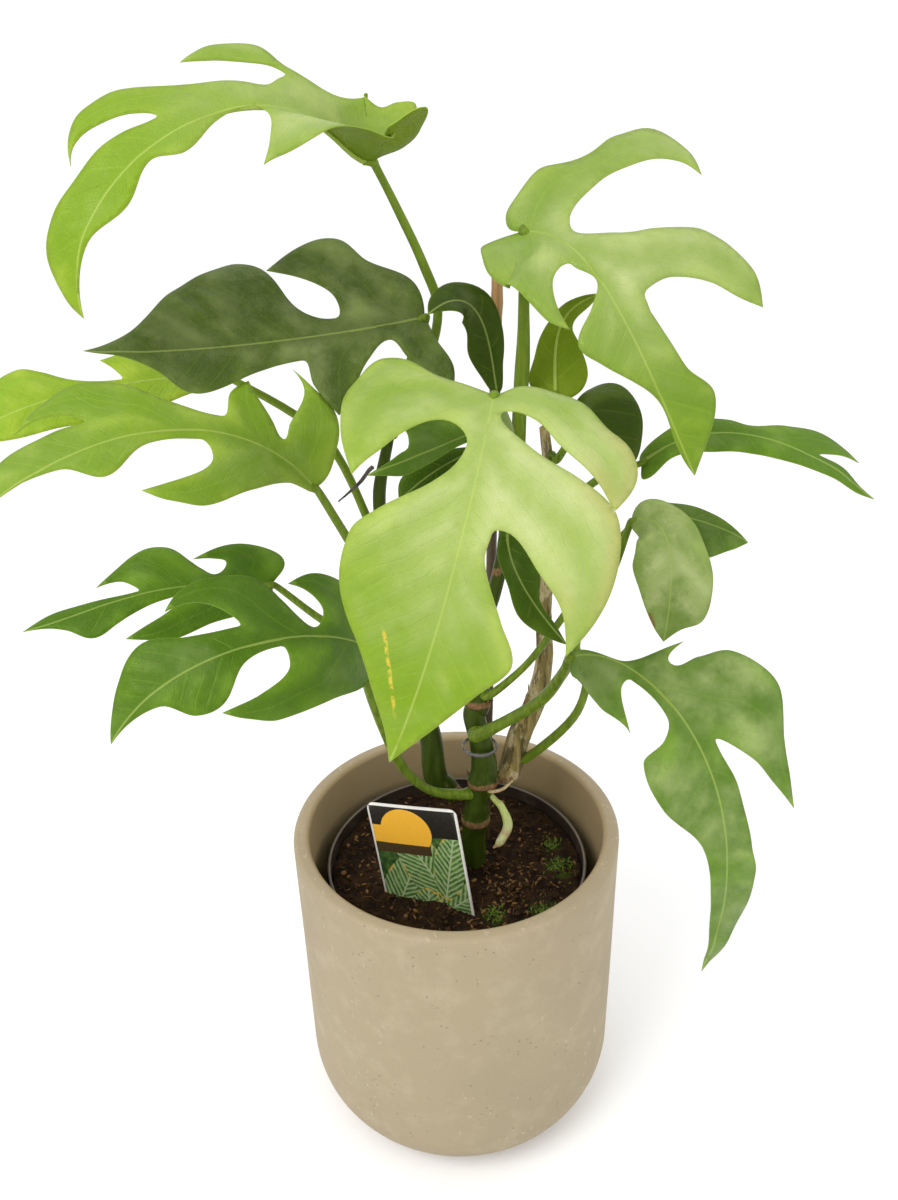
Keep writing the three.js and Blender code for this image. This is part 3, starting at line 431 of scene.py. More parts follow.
class Finish:
    """One material, with a single method that adds nodes."""

    def __init__(self, name):
        self.material = bpy.data.materials.new(name)
        self.material.use_nodes = True
        self.tree = self.material.node_tree
        self.tree.nodes.clear()

    def node(self, kind, settings=None, inputs=None, output=0):
        """Adds a node: its settings first, then the values or links of its sockets."""
        node = self.tree.nodes.new(kind)
        for key, value in (settings or {}).items():
            setattr(node, key, value)
        for key, value in (inputs or {}).items():
            socket = node.inputs[key]
            if isinstance(value, Value):
                self.tree.links.new(value.socket, socket)
            elif socket.type == "RGBA" and len(value) == 3:
                socket.default_value = (*value, 1)
            else:
                socket.default_value = value
        return None if output is None else Value(self, node.outputs[output])

    def place(self, stretch=(1, 1, 1)):
        """Where a point of the surface is, in metres, stretched along each axis."""
        where = self.node("ShaderNodeTexCoord", output="Object")
        if stretch == (1, 1, 1):
            return where
        return self.node("ShaderNodeMapping", {}, {"Vector": where, "Scale": stretch})

    def made(self, name):
        """A number that the mesh carries at each of its points."""
        return self.node("ShaderNodeAttribute", {"attribute_name": name}, output="Fac")

    def noise(self, scale, detail=4.0, roughness=0.55, stretch=(1, 1, 1), distortion=0.0):
        inputs = {"Vector": self.place(stretch), "Scale": scale, "Detail": detail}
        inputs.update({"Roughness": roughness, "Distortion": distortion})
        return self.node("ShaderNodeTexNoise", {}, inputs, output="Fac")

    def cells(self, scale, feature="F1", stretch=(1, 1, 1), output="Distance"):
        inputs = {"Vector": self.place(stretch), "Scale": scale}
        return self.node("ShaderNodeTexVoronoi", {"feature": feature}, inputs, output=output)

    def grained(self, grain, low, high):
        """A colour that goes from low to high with the grain."""
        return self.mix(grain.ramp(0.3, 0.7), low, high)

    def mix(self, factor, a, b):
        """A colour between a and b."""
        return self.node("ShaderNodeMix", {"data_type": "RGBA"}, {0: factor, 6: a, 7: b}, output=2)

    def done(self, colour, roughness, height=None, depth=0.001, through=None, **constants):
        """Joins the surface up. depth is the relief, in metres, that a height of 1 stands for."""
        inputs = {"Base Color": colour, "Roughness": roughness}
        if height is not None:
            relief = {"Height": height, "Distance": depth, "Strength": 1.0}
            inputs["Normal"] = self.node("ShaderNodeBump", {}, relief)
        for key, value in constants.items():
            inputs[key.replace("_", " ")] = value
        surface = self.node("ShaderNodeBsdfPrincipled", {}, inputs)
        if through is not None:
            share, tint = through
            behind = self.node("ShaderNodeBsdfTranslucent", {}, {"Color": tint})
            surface = self.node("ShaderNodeMixShader", {}, {0: share, 1: surface, 2: behind})
        self.node("ShaderNodeOutputMaterial", {}, {"Surface": surface}, output=None)
        return self.material


# ---- Mesh helpers ----


def new_piece(name, shape, material, replaces=(), kinds=None, flat=()):
    """Makes the mesh object, in metres, and ties it to the frame. shape is points, faces, numbers."""
    points, faces, numbers = shape
    mesh = bpy.data.meshes.new(name)
    mesh.from_pydata([tuple(point) for point in points], [], faces)
    for key, values in numbers.items():
        mesh.attributes.new(key, "FLOAT", "POINT").data.foreach_set("value", values)
    for one in material if isinstance(material, list) else [material]:
        mesh.materials.append(one)
    if kinds:
        mesh.polygons.foreach_set("material_index", kinds)
    sharp = set(flat)
    mesh.polygons.foreach_set("use_smooth", [i not in sharp for i in range(len(faces))])
    mesh.update()
    piece = bpy.data.objects.new(name, mesh)
    bpy.context.scene.collection.objects.link(piece)
    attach(piece, "root")
    if replaces:
        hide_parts(*replaces)
    return piece


def blend(a, b, k):
    return a + (b - a) * k


def smooth_step(k):
    k = min(max(k, 0.0), 1.0)
    return k * k * (3 - 2 * k)


def metres(shape):
    """A shape in mm as one in metres; the numbers that it carries stay as they are."""
    points, faces, numbers = shape
    return [Vector(point) * MM for point in points], faces, numbers


def along_in_metres(shape):
    """A shape in mm as one in metres, with how far along each point is in metres too."""
    points, faces, numbers = metres(shape)
    return points, faces, numbers | {"along": [value * MM for value in numbers["along"]]}


def spline(points, steps):
    """A smooth path through 3-D points, with that many steps between each two."""
    path = [Vector(point) for point in points]
    ends = [path[0] * 2 - path[1], *path, path[-1] * 2 - path[-2]]
    result = []
    for i in range(1, len(ends) - 2):
        before, a, b, after = ends[i - 1 : i + 3]
        for s in range(steps):
            t = s / steps
            pull = (b - before) * t
            bend = (before * 2 - a * 5 + b * 4 - after) * t**2
            twist = (a * 3 - before - b * 3 + after) * t**3
            result.append((a * 2 + pull + bend + twist) / 2)
    result.append(path[-1])
    return result


def spread(values, count):
    """The given numbers, spread evenly over count places with smooth steps between them."""
    result = []
    for i in range(count):
        at = i / (count - 1) * (len(values) - 1)
        span = min(int(at), len(values) - 2)
        result.append(blend(values[span], values[span + 1], smooth_step(at - span)))
    return result


def tube(path, radii, sides=16, rough=None):
    """A closed round tube along a dense path, with how far along and how far round each point is."""
    points, faces, along_numbers, turn_numbers = [], [], [], []
    across = Vector((1, 0, 0))
    travelled = 0.0
    last = len(path) - 1
    for i, centre in enumerate(path):
        along = (path[min(i + 1, last)] - path[max(i - 1, 0)]).normalized()
        across = (across - along * across.dot(along)).normalized()
        other = along.cross(across)
        if i:
            travelled += (centre - path[i - 1]).length
        for k in range(sides):
            a = math.tau * k / sides
            radius = radii[i] * (rough(centre, a) if rough else 1)
            points.append(centre + (across * math.cos(a) + other * math.sin(a)) * radius)
            along_numbers.append(travelled)
            turn_numbers.append(k / sides)
    for i in range(last):
        for k in range(sides):
            n = (k + 1) % sides
            faces.append((i * sides + k, i * sides + n, (i + 1) * sides + n, (i + 1) * sides + k))
    for row, inward in ((0, 1), (last, last - 1)):
        tip = path[row] + (path[row] - path[inward]).normalized() * radii[row] * 0.45
        index = len(points)
        points.append(tip)
        along_numbers.append(0.0 if row == 0 else travelled)
        turn_numbers.append(0.0)
        for k in range(sides):
            a = row * sides + k
            b = row * sides + (k + 1) % sides
            faces.append((b, a, index) if row == 0 else (a, b, index))
    return points, faces, {"along": along_numbers, "turn": turn_numbers}


def joined(shapes):
    """Several shapes as one."""
    points, faces, numbers = [], [], {}
    for some_points, some_faces, some_numbers in shapes:
        offset = len(points)
        points.extend(some_points)
        faces.extend(tuple(i + offset for i in face) for face in some_faces)
        for key, values in some_numbers.items():
            numbers.setdefault(key, []).extend(values)
    return points, faces, numbers


def lathe(profile, sides, wobble=None):
    """A closed profile of (radius, height) turned about the Z axis."""
    points, faces, rings = [], [], []
    for radius, height in profile:
        if radius < 1e-6:
            rings.append([len(points)])
            points.append(Vector((0, 0, height)))
            continue
        rings.append(list(range(len(points), len(points) + sides)))
        for k in range(sides):
            a = math.tau * k / sides
            grown = radius * (1 + (wobble(a, height) if wobble else 0))
            points.append(Vector((grown * math.cos(a), grown * math.sin(a), height)))
    for low, high in zip(rings, rings[1:]):
        for k in range(sides):
            n = (k + 1) % sides
            corners = [low[k % len(low)], low[n % len(low)], high[n % len(high)], high[k % len(high)]]
            face = [c for i, c in enumerate(corners) if c not in corners[:i]]
            if len(face) > 2:
                faces.append(tuple(face))
    return points, faces, {}


def arc(r, z, radius, start, end, steps):
    """Profile points on part of a circle about (r, z), from one angle to another in degrees."""
    points = []
    for i in range(steps + 1):
        a = math.radians(blend(start, end, i / steps))
        points.append((r + radius * math.cos(a), z + radius * math.sin(a)))
    return points


# ---- Leaf blades ----


class Blade:
    """Bends the flat blade into place: u runs along the midrib and v out from it, both in mm.

    The midrib is a Bezier curve. Each side rises from it by a lift angle, given at the stalk, at a
    third of the length and at the tip, and curls down by the curl angle for every 50 mm of v.
    """

    STEPS = 60
    THIRD = 0.35

    def __init__(self, leaf):
        self.facing = [Vector(face).normalized() for face in leaf["face"]]
        self.sides = {-1: leaf["left"], 1: leaf["right"]}
        control = [Vector(point) for point in leaf["rib"]]
        self.samples = [bezier(control, i / self.STEPS) for i in range(self.STEPS + 1)]
        self.reach = [0.0]
        for a, b in zip(self.samples, self.samples[1:]):
            self.reach.append(self.reach[-1] + (b - a).length)
        self.length = self.reach[-1]

    def rib(self, u):
        """Point and direction on the midrib, which runs on straight past either end."""
        i = min(max(bisect.bisect_right(self.reach, u), 1), self.STEPS)
        a, b = self.samples[i - 1], self.samples[i]
        k = (u - self.reach[i - 1]) / (self.reach[i] - self.reach[i - 1])
        if u <= 0 or u >= self.length:
            return a.lerp(b, k), (b - a).normalized()
        start = self.samples[i] - self.samples[max(i - 2, 0)]
        end = self.samples[min(i + 1, self.STEPS)] - self.samples[i - 1]
        return a.lerp(b, k), start.normalized().lerp(end.normalized(), k).normalized()

    def lift(self, side, k):
        base, third, tip = self.sides[side]["lift"]
        if k < self.THIRD:
            return math.radians(blend(base, third, smooth_step(k / self.THIRD)))
        return math.radians(blend(third, tip, smooth_step((k - self.THIRD) / (1 - self.THIRD))))

    def stand(self, u):
        """A point of the midrib, its direction, its share of the length, and the way it faces."""
        point, along = self.rib(u)
        k = min(max(u / self.length, 0), 1)
        up = self.facing[0].lerp(self.facing[1], k)
        return point, along, k, (up - along * up.dot(along)).normalized()

    def at(self, u, v):
        """The point at (u, v); v is negative on the left side."""
        point, along, k, up = self.stand(u)
        side = -1 if v < 0 else 1
        out = along.cross(up) * side
        start = self.lift(side, k)
        bend = math.radians(self.sides[side]["curl"]) / 50
        end = start - bend * abs(v)
        point = point + out * ((math.sin(start) - math.sin(end)) / bend)
        return point + up * ((math.cos(end) - math.cos(start)) / bend)

    def under(self, u, depth):
        """The point that far below the midrib, in mm."""
        point, _, _, up = self.stand(u)
        return point - up * depth


def bezier(control, t):
    points = control
    while len(points) > 1:
        points = [a.lerp(b, t) for a, b in zip(points, points[1:])]
    return points[0]


def smooth_curve(points, lead):
    """A smooth flat curve through the given points, leaving the first along lead."""
    spans = len(points) - 1
    gaps = [math.dist(a, b) for a, b in zip(points, points[1:])]
    cuts = [sum(gaps[:i]) for i in range(spans + 1)]
    steps = max(int(cuts[-1] / OUTLINE_STEP), 5)

    def direction(i):
        du = points[i + 1][0] - points[i - 1][0]
        dv = points[i + 1][1] - points[i - 1][1]
        return du / math.hypot(du, dv), dv / math.hypot(du, dv)

    result = []
    for s in range(steps + 1):
        along = cuts[-1] * s / steps
        i = min(bisect.bisect_right(cuts, along) - 1, spans - 1)
        h = (along - cuts[i]) / gaps[i]
        spot = []
        for axis in (0, 1):
            a, b = points[i][axis], points[i + 1][axis]
            leaving = (lead[axis] if i == 0 else direction(i)[axis]) * gaps[i]
            last = i + 1 == spans
            coming = 1.5 * (b - a) - 0.5 * leaving if last else direction(i + 1)[axis] * gaps[i]
            rise = 3 * h**2 - 2 * h**3
            between = a * (1 - rise) + b * rise
            spot.append(between + (h**3 - 2 * h**2 + h) * leaving + (h**3 - h**2) * coming)
        result.append(tuple(spot))
    return result


def flat_leaf(leaf, length):
    """The outline once round, and the veins, as flat lines of (u, v); v is negative on the left."""
    edges, starts = {}, {}
    veins = []
    for name, side in (("right", 1), ("left", -1)):
        part = leaf[name]
        start, away = (0.0, 0.0), part["lead"]
        edge = []
        for lobe in part["lobes"]:
            back = smooth_curve([start, *lobe["back"], lobe["tip"]], away)
            front = smooth_curve([lobe["notch"], *lobe["front"], lobe["tip"]], (-1, 0))
            edge += back[:-1] + front[:0:-1]
            middle = []
            for k in (0.12, 0.3, 0.5, 0.7, 0.86):
                a, b = back[round(k * (len(back) - 1))], front[round(k * (len(front) - 1))]
                middle.append(((a[0] + b[0]) / 2, (a[1] + b[1]) / 2))
            first = max(middle[0][0] - 1.1 * middle[0][1], start[0] * 0.5 + 2)
            if first < length * 0.8:
                vein = smooth_curve([(first, 0), *middle], (0.75, 0.65))
                veins.append([(u, v * side) for u, v in vein])
            start, away = lobe["notch"], (1, 0)
        end = smooth_curve([start, *part["end"], (length, 0)], away)
        edge += end[:-1]
        edges[side] = [(u, v * side) for u, v in edge]
        starts[side] = start[0]
    outline = edges[1] + [(length, 0.0)] + edges[-1][:0:-1]
    rim = near_finder([outline])
    for side, start in starts.items():
        u = start + 7 - 2 * side
        while u < length - 14:
            veins.append(side_vein(u, side, rim))
            u += VEIN_GAP
    return outline, [vein for vein in veins if len(vein) > 4]


def side_vein(u, side, rim):
    """A vein that leaves the midrib at u, bends towards the tip and stops short of the margin."""
    vein = [(u, 0.0)]
    out = 0.0
    while out < 60:
        out += OUTLINE_STEP * 0.7
        spot = (u + out * 0.8 + out**2 * 0.008, out * side)
        if rim.find((*spot, 0))[2] < VEIN_TO_MARGIN:
            break
        vein.append(spot)
    return vein


def near_finder(lines):
    """Finds the nearest of all the points on some flat lines."""
    spots = [spot for line in lines for spot in line]
    finder = kdtree.KDTree(len(spots))
    for i, (u, v) in enumerate(spots):
        finder.insert((u, v, 0), i)
    finder.balance()
    return finder


def flat_mesh(outline, veins, length, spacing):
    """Even triangles that fill the outline, with edges along the midrib and the veins."""
    steps = max(int(length / spacing), 6)
    rib = [(length * i / steps, 0.0) for i in range(1, steps)]
    rim = near_finder([outline])
    kept_veins = []
    for vein in veins:
        inside = [spot for spot in vein[1:] if rim.find((*spot, 0))[2] > spacing * 0.6]
        kept_veins.append(inside)
    lines = [outline, rib, *kept_veins]
    fixed = near_finder(lines)
    spots, edges = [], []
    for line in lines:
        start = len(spots)
        spots += line
        edges += [(i, i + 1) for i in range(start, len(spots) - 1)]
    edges.append((len(outline) - 1, 0))
    edges.append((0, len(outline)))
    tip = outline.index((length, 0.0))
    edges.append((len(outline) + len(rib) - 1, tip))
    lowest = [min(spot[axis] for spot in outline) for axis in (0, 1)]
    highest = [max(spot[axis] for spot in outline) for axis in (0, 1)]
    rows = int((highest[1] - lowest[1]) / (spacing * 0.866)) + 1
    columns = int((highest[0] - lowest[0]) / spacing) + 1
    for row in range(rows):
        for column in range(columns):
            spot = (lowest[0] + (column + 0.5 * (row % 2)) * spacing, lowest[1] + row * spacing * 0.866)
            if fixed.find((*spot, 0))[2] > spacing * 0.62:
                spots.append(spot)
    loop = list(range(len(outline)))[::-1]
    filled = delaunay_2d_cdt([Vector(spot) for spot in spots], edges, [loop], 0, 1e-4, True)
    inside = [face for face, loops in zip(filled[2], filled[5]) if loops]
    used = sorted({i for face in inside for i in face})
    renumber = {old: new for new, old in enumerate(used)}
    return [tuple(filled[0][i]) for i in used], [tuple(renumber[i] for i in face) for face in inside]


def normals_of(points, faces):
    """The direction that the surface faces at each point."""
    normals = [Vector((0, 0, 0)) for _ in points]
    for a, b, c in faces:
        normal = (points[b] - points[a]).cross(points[c] - points[a])
        for i in (a, b, c):
            normals[i] += normal
    return [normal.normalized() for normal in normals]


def blade_shape(leaf, settings, seed):
    """Points, faces and numbers of a thin leaf blade, and the material number of each face."""
    blade = Blade(leaf)
    outline, veins = flat_leaf(leaf, blade.length)
    spacing = 2.2 if blade.length > LONG_BLADE else 1.7
    spots, faces = flat_mesh(outline, veins, blade.length, spacing)
    faces = [face[::-1] if turns_left(*(spots[i] for i in face)) else face for face in faces]
    rim = near_finder([outline])
    vein_points = near_finder([[(u, v) for vein in veins for u, v in vein] or [(0, -999)]])
    points = [blade.at(u, v) for u, v in spots]
    normals = normals_of(points, faces)
    drift = Vector((seed * 7.3, seed * 3.1, seed * 5.7))
    numbers = {"along": [], "out": [], "vein": [], "edge": []}
    tops, unders = [], []
    for (u, v), point, normal in zip(spots, points, normals):
        edge = rim.find((u, v, 0))[2]
        vein = vein_points.find((u, v, 0))[2]
        rib = abs(v)
        inward = smooth_step(edge / WAVE_REACH)
        wave = noise.noise(point / WAVE_SIZE + drift) * settings.margin_wave / MM * (1 - inward)
        swell = noise.noise(point / SWELL_SIZE + drift) * SWELL_HEIGHT * smooth_step(rib / 12)
        puff = settings.vein_depth / MM * smooth_step(min(rib, vein) / 6) * inward
        point = point + normal * (wave + swell + puff - settings.vein_depth / MM)
        half = blend(settings.margin_thickness, settings.thickness, smooth_step(edge / 4)) / MM / 2
        tops.append((point + normal * half) * MM)
        unders.append((point - normal * half) * MM)
        for key, value in (("along", u), ("out", v), ("vein", vein), ("edge", edge)):
            numbers[key].append(value)
    below = len(tops)
    sides = set()
    for a, b, c in faces:
        sides.update(((a, b), (b, c), (c, a)))
    walls = [(a, a + below, b + below, b) for a, b in sorted(sides) if (b, a) not in sides]
    turned = [tuple(i + below for i in face[::-1]) for face in faces]
    numbers = {key: values * 2 for key, values in numbers.items()}
    kinds = [0] * len(faces) + [1] * len(faces) + [0] * len(walls)
    flat = range(2 * len(faces), 2 * len(faces) + len(walls))
    shape = (tops + unders, faces + turned + walls, numbers)
    return shape, kinds, flat, blade


def turns_left(a, b, c):
    return (b[0] - a[0]) * (c[1] - a[1]) - (b[1] - a[1]) * (c[0] - a[0]) > 0


# ---- What a user would change ----


def colour_setting(name, description, default):
    return bpy.props.FloatVectorProperty(
        name=name, description=description, default=default, size=3, min=0, max=1, subtype="COLOR"
    )


def number_setting(name, description, default, **limits):
    return bpy.props.FloatProperty(name=name, description=description, default=default, **limits)


def length_setting(name, description, default):
    return number_setting(name, description, default, min=0, unit="LENGTH")


def count_setting(name, description, default, least=0):
    return bpy.props.IntProperty(name=name, description=description, default=default, min=least)


def group_setting(group, name, description):
    return bpy.props.PointerProperty(type=group, name=name, description=description)


class PotSettings(bpy.types.PropertyGroup):
    concrete: colour_setting("Concrete", "Colour of the cover pot", (0.345, 0.280, 0.178))
    patch: colour_setting("Patches", "Colour of the soft darker patches", (0.290, 0.238, 0.158))
    chip: colour_setting("Chips", "Colour of the pale chips and specks", (0.60, 0.52, 0.37))
    # the inside colour is partly the wet inner wall and partly painted shade
    inside: colour_setting("Inside", "Colour of the damp inner wall", (0.36, 0.265, 0.130))
    plastic: colour_setting("Growing pot", "Colour of the growing pot", (0.045, 0.032, 0.022))
    pore_depth: length_setting("Pore depth", "Depth of the pores in the concrete", 0.0005)
    sides: count_setting("Sides", "Faces round the pot", 192, 48)


class SoilSettings(bpy.types.PropertyGroup):
    # dark and light soil follow the lumps of the bump: partly real mottling, partly painted shade in the
    # hollows
    dark: colour_setting("Dark soil", "Colour of the soil in its hollows", (0.009, 0.004, 0.0012))
    light: colour_setting("Light soil", "Colour of the drier crumbs", (0.060, 0.029, 0.009))
    fibre: colour_setting("Fibre", "Colour of the chips of bark and fibre", (0.27, 0.14, 0.045))
    moss: colour_setting("Moss", "Colour of the patches of moss", (0.10, 0.19, 0.02))
    lumps: length_setting("Lumps", "How far the soil rises and falls", 0.0032)
    crumbs: count_setting("Crumbs", "Number of loose crumbs", 1100)
    bits: count_setting("Bits", "Number of bark chips and fibres", 260)
    tufts: count_setting("Moss", "Number of moss leaves", 330)


class LeafSettings(bpy.types.PropertyGroup):
    thickness: length_setting("Thickness", "Thickness of a blade", 0.0007)
    margin_thickness: length_setting("Margin thickness", "Thickness of a blade at its margin", 0.0003)
    margin_wave: length_setting("Margin wave", "How far the margins wave up and down", 0.0016)
    vein_depth: length_setting("Vein depth", "How far the main veins sink in", 0.0006)
    young_deep: colour_setting("Young, deep", "Deeper colour of a young leaf", (0.180, 0.320, 0.006))
    young_light: colour_setting("Young, light", "Lighter colour of a young leaf", (0.330, 0.450, 0.028))
    grown_deep: colour_setting("Grown, deep", "Deeper colour of a grown leaf", (0.040, 0.118, 0.001))
    grown_light: colour_setting("Grown, light", "Lighter colour of a grown leaf", (0.122, 0.250, 0.008))
    old_deep: colour_setting("Old, deep", "Deeper colour of an old leaf", (0.012, 0.026, 0.0004))
    old_light: colour_setting("Old, light", "Lighter colour of an old leaf", (0.050, 0.082, 0.002))
    # the bloom colour also paints the pale sheen on the leaves, a painted highlight
    bloom: colour_setting("Bloom", "Colour of the grey bloom on some leaves", (0.50, 0.56, 0.25))
    vein: colour_setting("Veins", "Colour of the veins and margins", (0.33, 0.46, 0.07))
    see_through: number_setting(
        "See-through", "Share of the light through a blade", 0.10, min=0, max=1, subtype="FACTOR"
    )


class StemSettings(bpy.types.PropertyGroup):
    # the green is as dark as the stems look under the leaves: partly their own dark green, partly painted
    # shade
    green: colour_setting("Green", "Colour of the green stems", (0.024, 0.040, 0.003))
    stalk: colour_setting("Stalk", "Colour of the leaf stalks", (0.140, 0.215, 0.016))
    bark: colour_setting("Bark", "Colour of the woody stem", (0.300, 0.220, 0.080))
    scar: colour_setting("Scar", "Colour of the dry rings at the joints", (0.270, 0.150, 0.070))
    cane: colour_setting("Cane", "Colour of the support cane", (0.420, 0.230, 0.080))
    root: colour_setting("Root", "Colour of the dry roots", (0.045, 0.034, 0.028))
    shoot: colour_setting("Shoot", "Colour of the young shoot", (0.420, 0.470, 0.130))


class LabelSettings(bpy.types.PropertyGroup):
    card: colour_setting("Card", "Colour of the plain card", (0.82, 0.80, 0.74))
    header: colour_setting("Header", "Colour of the dark band", (0.012, 0.011, 0.010))
    patch: colour_setting("Patch", "Colour of the warm patch in the band", (0.80, 0.42, 0.035))
    leaf: colour_setting("Printed leaf", "Colour of the printed leaves", (0.045, 0.12, 0.025))
    stripe: colour_setting("Stripe", "Colour of the printed stripes", (0.46, 0.55, 0.30))
    border: length_setting("Border", "Width of the unprinted border", 0.0011)


class StageSettings(bpy.types.PropertyGroup):
    floor: colour_setting("Floor", "Colour of the floor", (0.97, 0.97, 0.97))
    sky: number_setting("Sky", "Strength of the even light", 1.07, min=0)
    key: number_setting("Key light", "Power of the main light", 11, min=0, unit="POWER")
    fill: number_setting("Fill light", "Power of the second light", 2, min=0, unit="POWER")
    lens: number_setting("Lens", "Focal length in mm", 27.03, min=1)
    pitch: number_setting("Pitch", "How far the camera looks down", math.radians(25), subtype="ANGLE")
    roll: number_setting("Roll", "How far the camera leans over", math.radians(-1.34), subtype="ANGLE")
    eye: bpy.props.FloatVectorProperty(
        name="Eye",
        description="Where the camera stands",
        default=(-0.001, -0.405, 0.505),
        subtype="TRANSLATION",
    )


class PlantSettings(bpy.types.PropertyGroup):
    pot: group_setting(PotSettings, "Pots", "The two pots")
    soil: group_setting(SoilSettings, "Soil", "Soil and moss")
    leaf: group_setting(LeafSettings, "Leaves", "Leaf blades")
    stem: group_setting(StemSettings, "Stems", "Stems, stalks and roots")
    label: group_setting(LabelSettings, "Label", "Plant label")
    stage: group_setting(StageSettings, "Stage", "Floor, light and camera")


def blended(a, b, k):
    return tuple(blend(x, y, k) for x, y in zip(a, b))


# ---- Finishes ----

# How dark each leaf looks (0 young and pale, 1 old and dark; inner leaves also carry painted shade), its
# share of pale bloom, its roughness, and how far along the blade (mm) a painted sheen, pale like the bloom,
# reaches before it fades, with its strength
LEAF_LOOKS = {
    "top_left": (0.10, 0.03, 0.30, 90, 0.62),
    "top_right": (0.24, 0.05, 0.20, 95, 0.70),
    "upper_left": (0.90, 0.20, 0.18, 0, 0),
    "middle_left": (0.22, 0.14, 0.28, 0, 0),
    "far_left": (-0.04, 0.06, 0.32, 0, 0),
    "front": (0.08, 0.08, 0.30, 105, 0.95),
    "lower_left": (0.58, 0.05, 0.24, 0, 0),
    "low_far_left": (0.52, 0.04, 0.26, 0, 0),
    "middle_right": (0.46, 0.08, 0.28, 0, 0),
    "grey_right": (0.40, 0.75, 0.44, 40, 0.40),
    "back_right": (0.60, 0.20, 0.34, 0, 0),
    "lower_right": (0.50, 0.36, 0.26, 0, 0),
    "centre_hook": (0.95, 0.00, 0.26, 0, 0),
    "centre_back": (-0.05, 0.00, 0.34, 0, 0),
    "round_right": (0.95, 0.00, 0.28, 0, 0),
    "inner_left": (0.55, 0.15, 0.34, 0, 0),
    "inner_dark": (0.80, 0.00, 0.30, 0, 0),
    "hanging": (0.84, 0.00, 0.28, 0, 0),
}

# Leaf sheen keeps some of the green of the leaf
SHEEN = (0.80, 0.95, 0.38, 1)

# Colours of marks on the plant, and the tint of a leaf's underside
BLACK = (0, 0, 0)
UNDERSIDE = (0.11, 0.13, 0.0)
DRY_MARGIN = (0.22, 0.12, 0.045)
BROWNED_MARGIN = (0.40, 0.27, 0.10)
YELLOW_STREAK = (0.66, 0.50, 0.06)
PALE_FLAKE = (0.46, 0.38, 0.22)
BARK_CRACK = (0.05, 0.035, 0.02)


def leaf_colours(settings, age_and_shade):
    """The deeper and the lighter colour of a leaf: darker when older, and darker still where it carries
    painted shade.
    """
    young = settings.young_deep, settings.young_light
    grown = settings.grown_deep, settings.grown_light
    old = settings.old_deep, settings.old_light
    if age_and_shade < 0.5:
        return [blended(a, b, age_and_shade * 2) for a, b in zip(young, grown)]
    return [blended(a, b, age_and_shade * 2 - 1) for a, b in zip(grown, old)]


def leaf_finishes(name, settings):
    """The finishes of the upper and the lower face of a leaf blade."""
    age_and_shade, _, rough, _, _ = LEAF_LOOKS[name]
    deep, light = leaf_colours(settings, age_and_shade)
    vein_colour = blended(settings.vein, light, 0.35 + 0.4 * age_and_shade)
    finishes = []
    for face in ("upper", "lower"):
        upper = face == "upper"
        finish = Finish(f"leaf_{name}_{face}")
        along = finish.made("along")
        out = finish.made("out")
        rib = abs(out)
        vein = finish.made("vein")
        edge = finish.made("edge")
        broad = finish.noise(30, 4, 0.55)
        fine = finish.noise(420, 3, 0.6)
        wander = finish.noise(60, 2, 0.5)
        # side veins leave the midrib every few mm and run forward to the margin
        phase = (along - rib * 0.9 + wander * 9) / SIDE_VEIN_GAP
        side = abs(phase.fraction() - 0.5) * 2
        side_vein = side.ramp(0.80, 1.0) * edge.ramp(0.5, 4) * rib.ramp(0.5, 3)
        net = finish.cells(950, "DISTANCE_TO_EDGE").ramp(0.0, 0.12, 1, 0)
        rib_line = rib.ramp(0.12, 0.60, 1, 0)
        vein_line = vein.ramp(0.05, 0.50, 1, 0)
        near_vein = rib.least(vein).ramp(0.5, 9, 1, 0)
        tone = broad.ramp(0.34, 0.68) * 0.75 + fine * 0.35 - near_vein * (0.40 if upper else 0.1)
        colour = finish.mix(tone.ramp(0.05, 0.95), deep, light)
        if upper:
            # real grey bloom and painted sheen together, both laid on in the bloom colour
            grey = leaf_bloom_and_sheen(finish, name, along, out, edge)
            colour = finish.mix(grey, colour, settings.bloom)
            colour = finish.mix(edge.ramp(0.0, 6, 0.30, 0), colour, light)
            colour = finish.mix(near_vein * 0.42, colour, blended(deep, light, 0.3))
        else:
            # the underside's own tint, darkened towards black as painted shade
            under = blended(blended(blended(deep, light, 0.35), UNDERSIDE, 0.45), BLACK, 0.30)
            colour = finish.mix(0.75, colour, under)
        colour = finish.mix(side_vein * 0.04, colour, vein_colour)
        colour = finish.mix(net * 0.10, colour, vein_colour)
        if name == "front" and upper:
            colour = front_marks(finish, colour, along, out, edge, fine)
        if name == "grey_right" and upper:
            dry = edge.ramp(0.2, 2.6, 1, 0) * finish.noise(70, 3).ramp(0.5, 0.58) * along.ramp(44, 60)
            colour = finish.mix(dry, colour, DRY_MARGIN)
        colour = finish.mix(vein_line * 0.20, colour, vein_colour)
        colour = finish.mix(rib_line * 0.60, colour, blended(vein_colour, (0.60, 0.66, 0.24), 0.3))
        colour = finish.mix(edge.ramp(0.10, 0.55, 0.45, 0), colour, vein_colour)
        patches = finish.noise(48, 4, 0.6).ramp(0.36, 0.66)
        roughness = patches * 0.16 + fine * 0.08 + (rough if upper else 0.50)
        relief = finish.noise(75, 3, 0.5) * 2.4 + finish.noise(260, 4, 0.6) * 0.5
        height = relief - side_vein * 0.2 - net * 0.1
        through = (settings.see_through, blended(light, (0.55, 0.72, 0.05), 0.35))
        sheen = {"Specular_IOR_Level": 0.32, "Specular_Tint": SHEEN}
        finishes.append(finish.done(colour, roughness, height, 0.0005, through, **sheen))
    return finishes


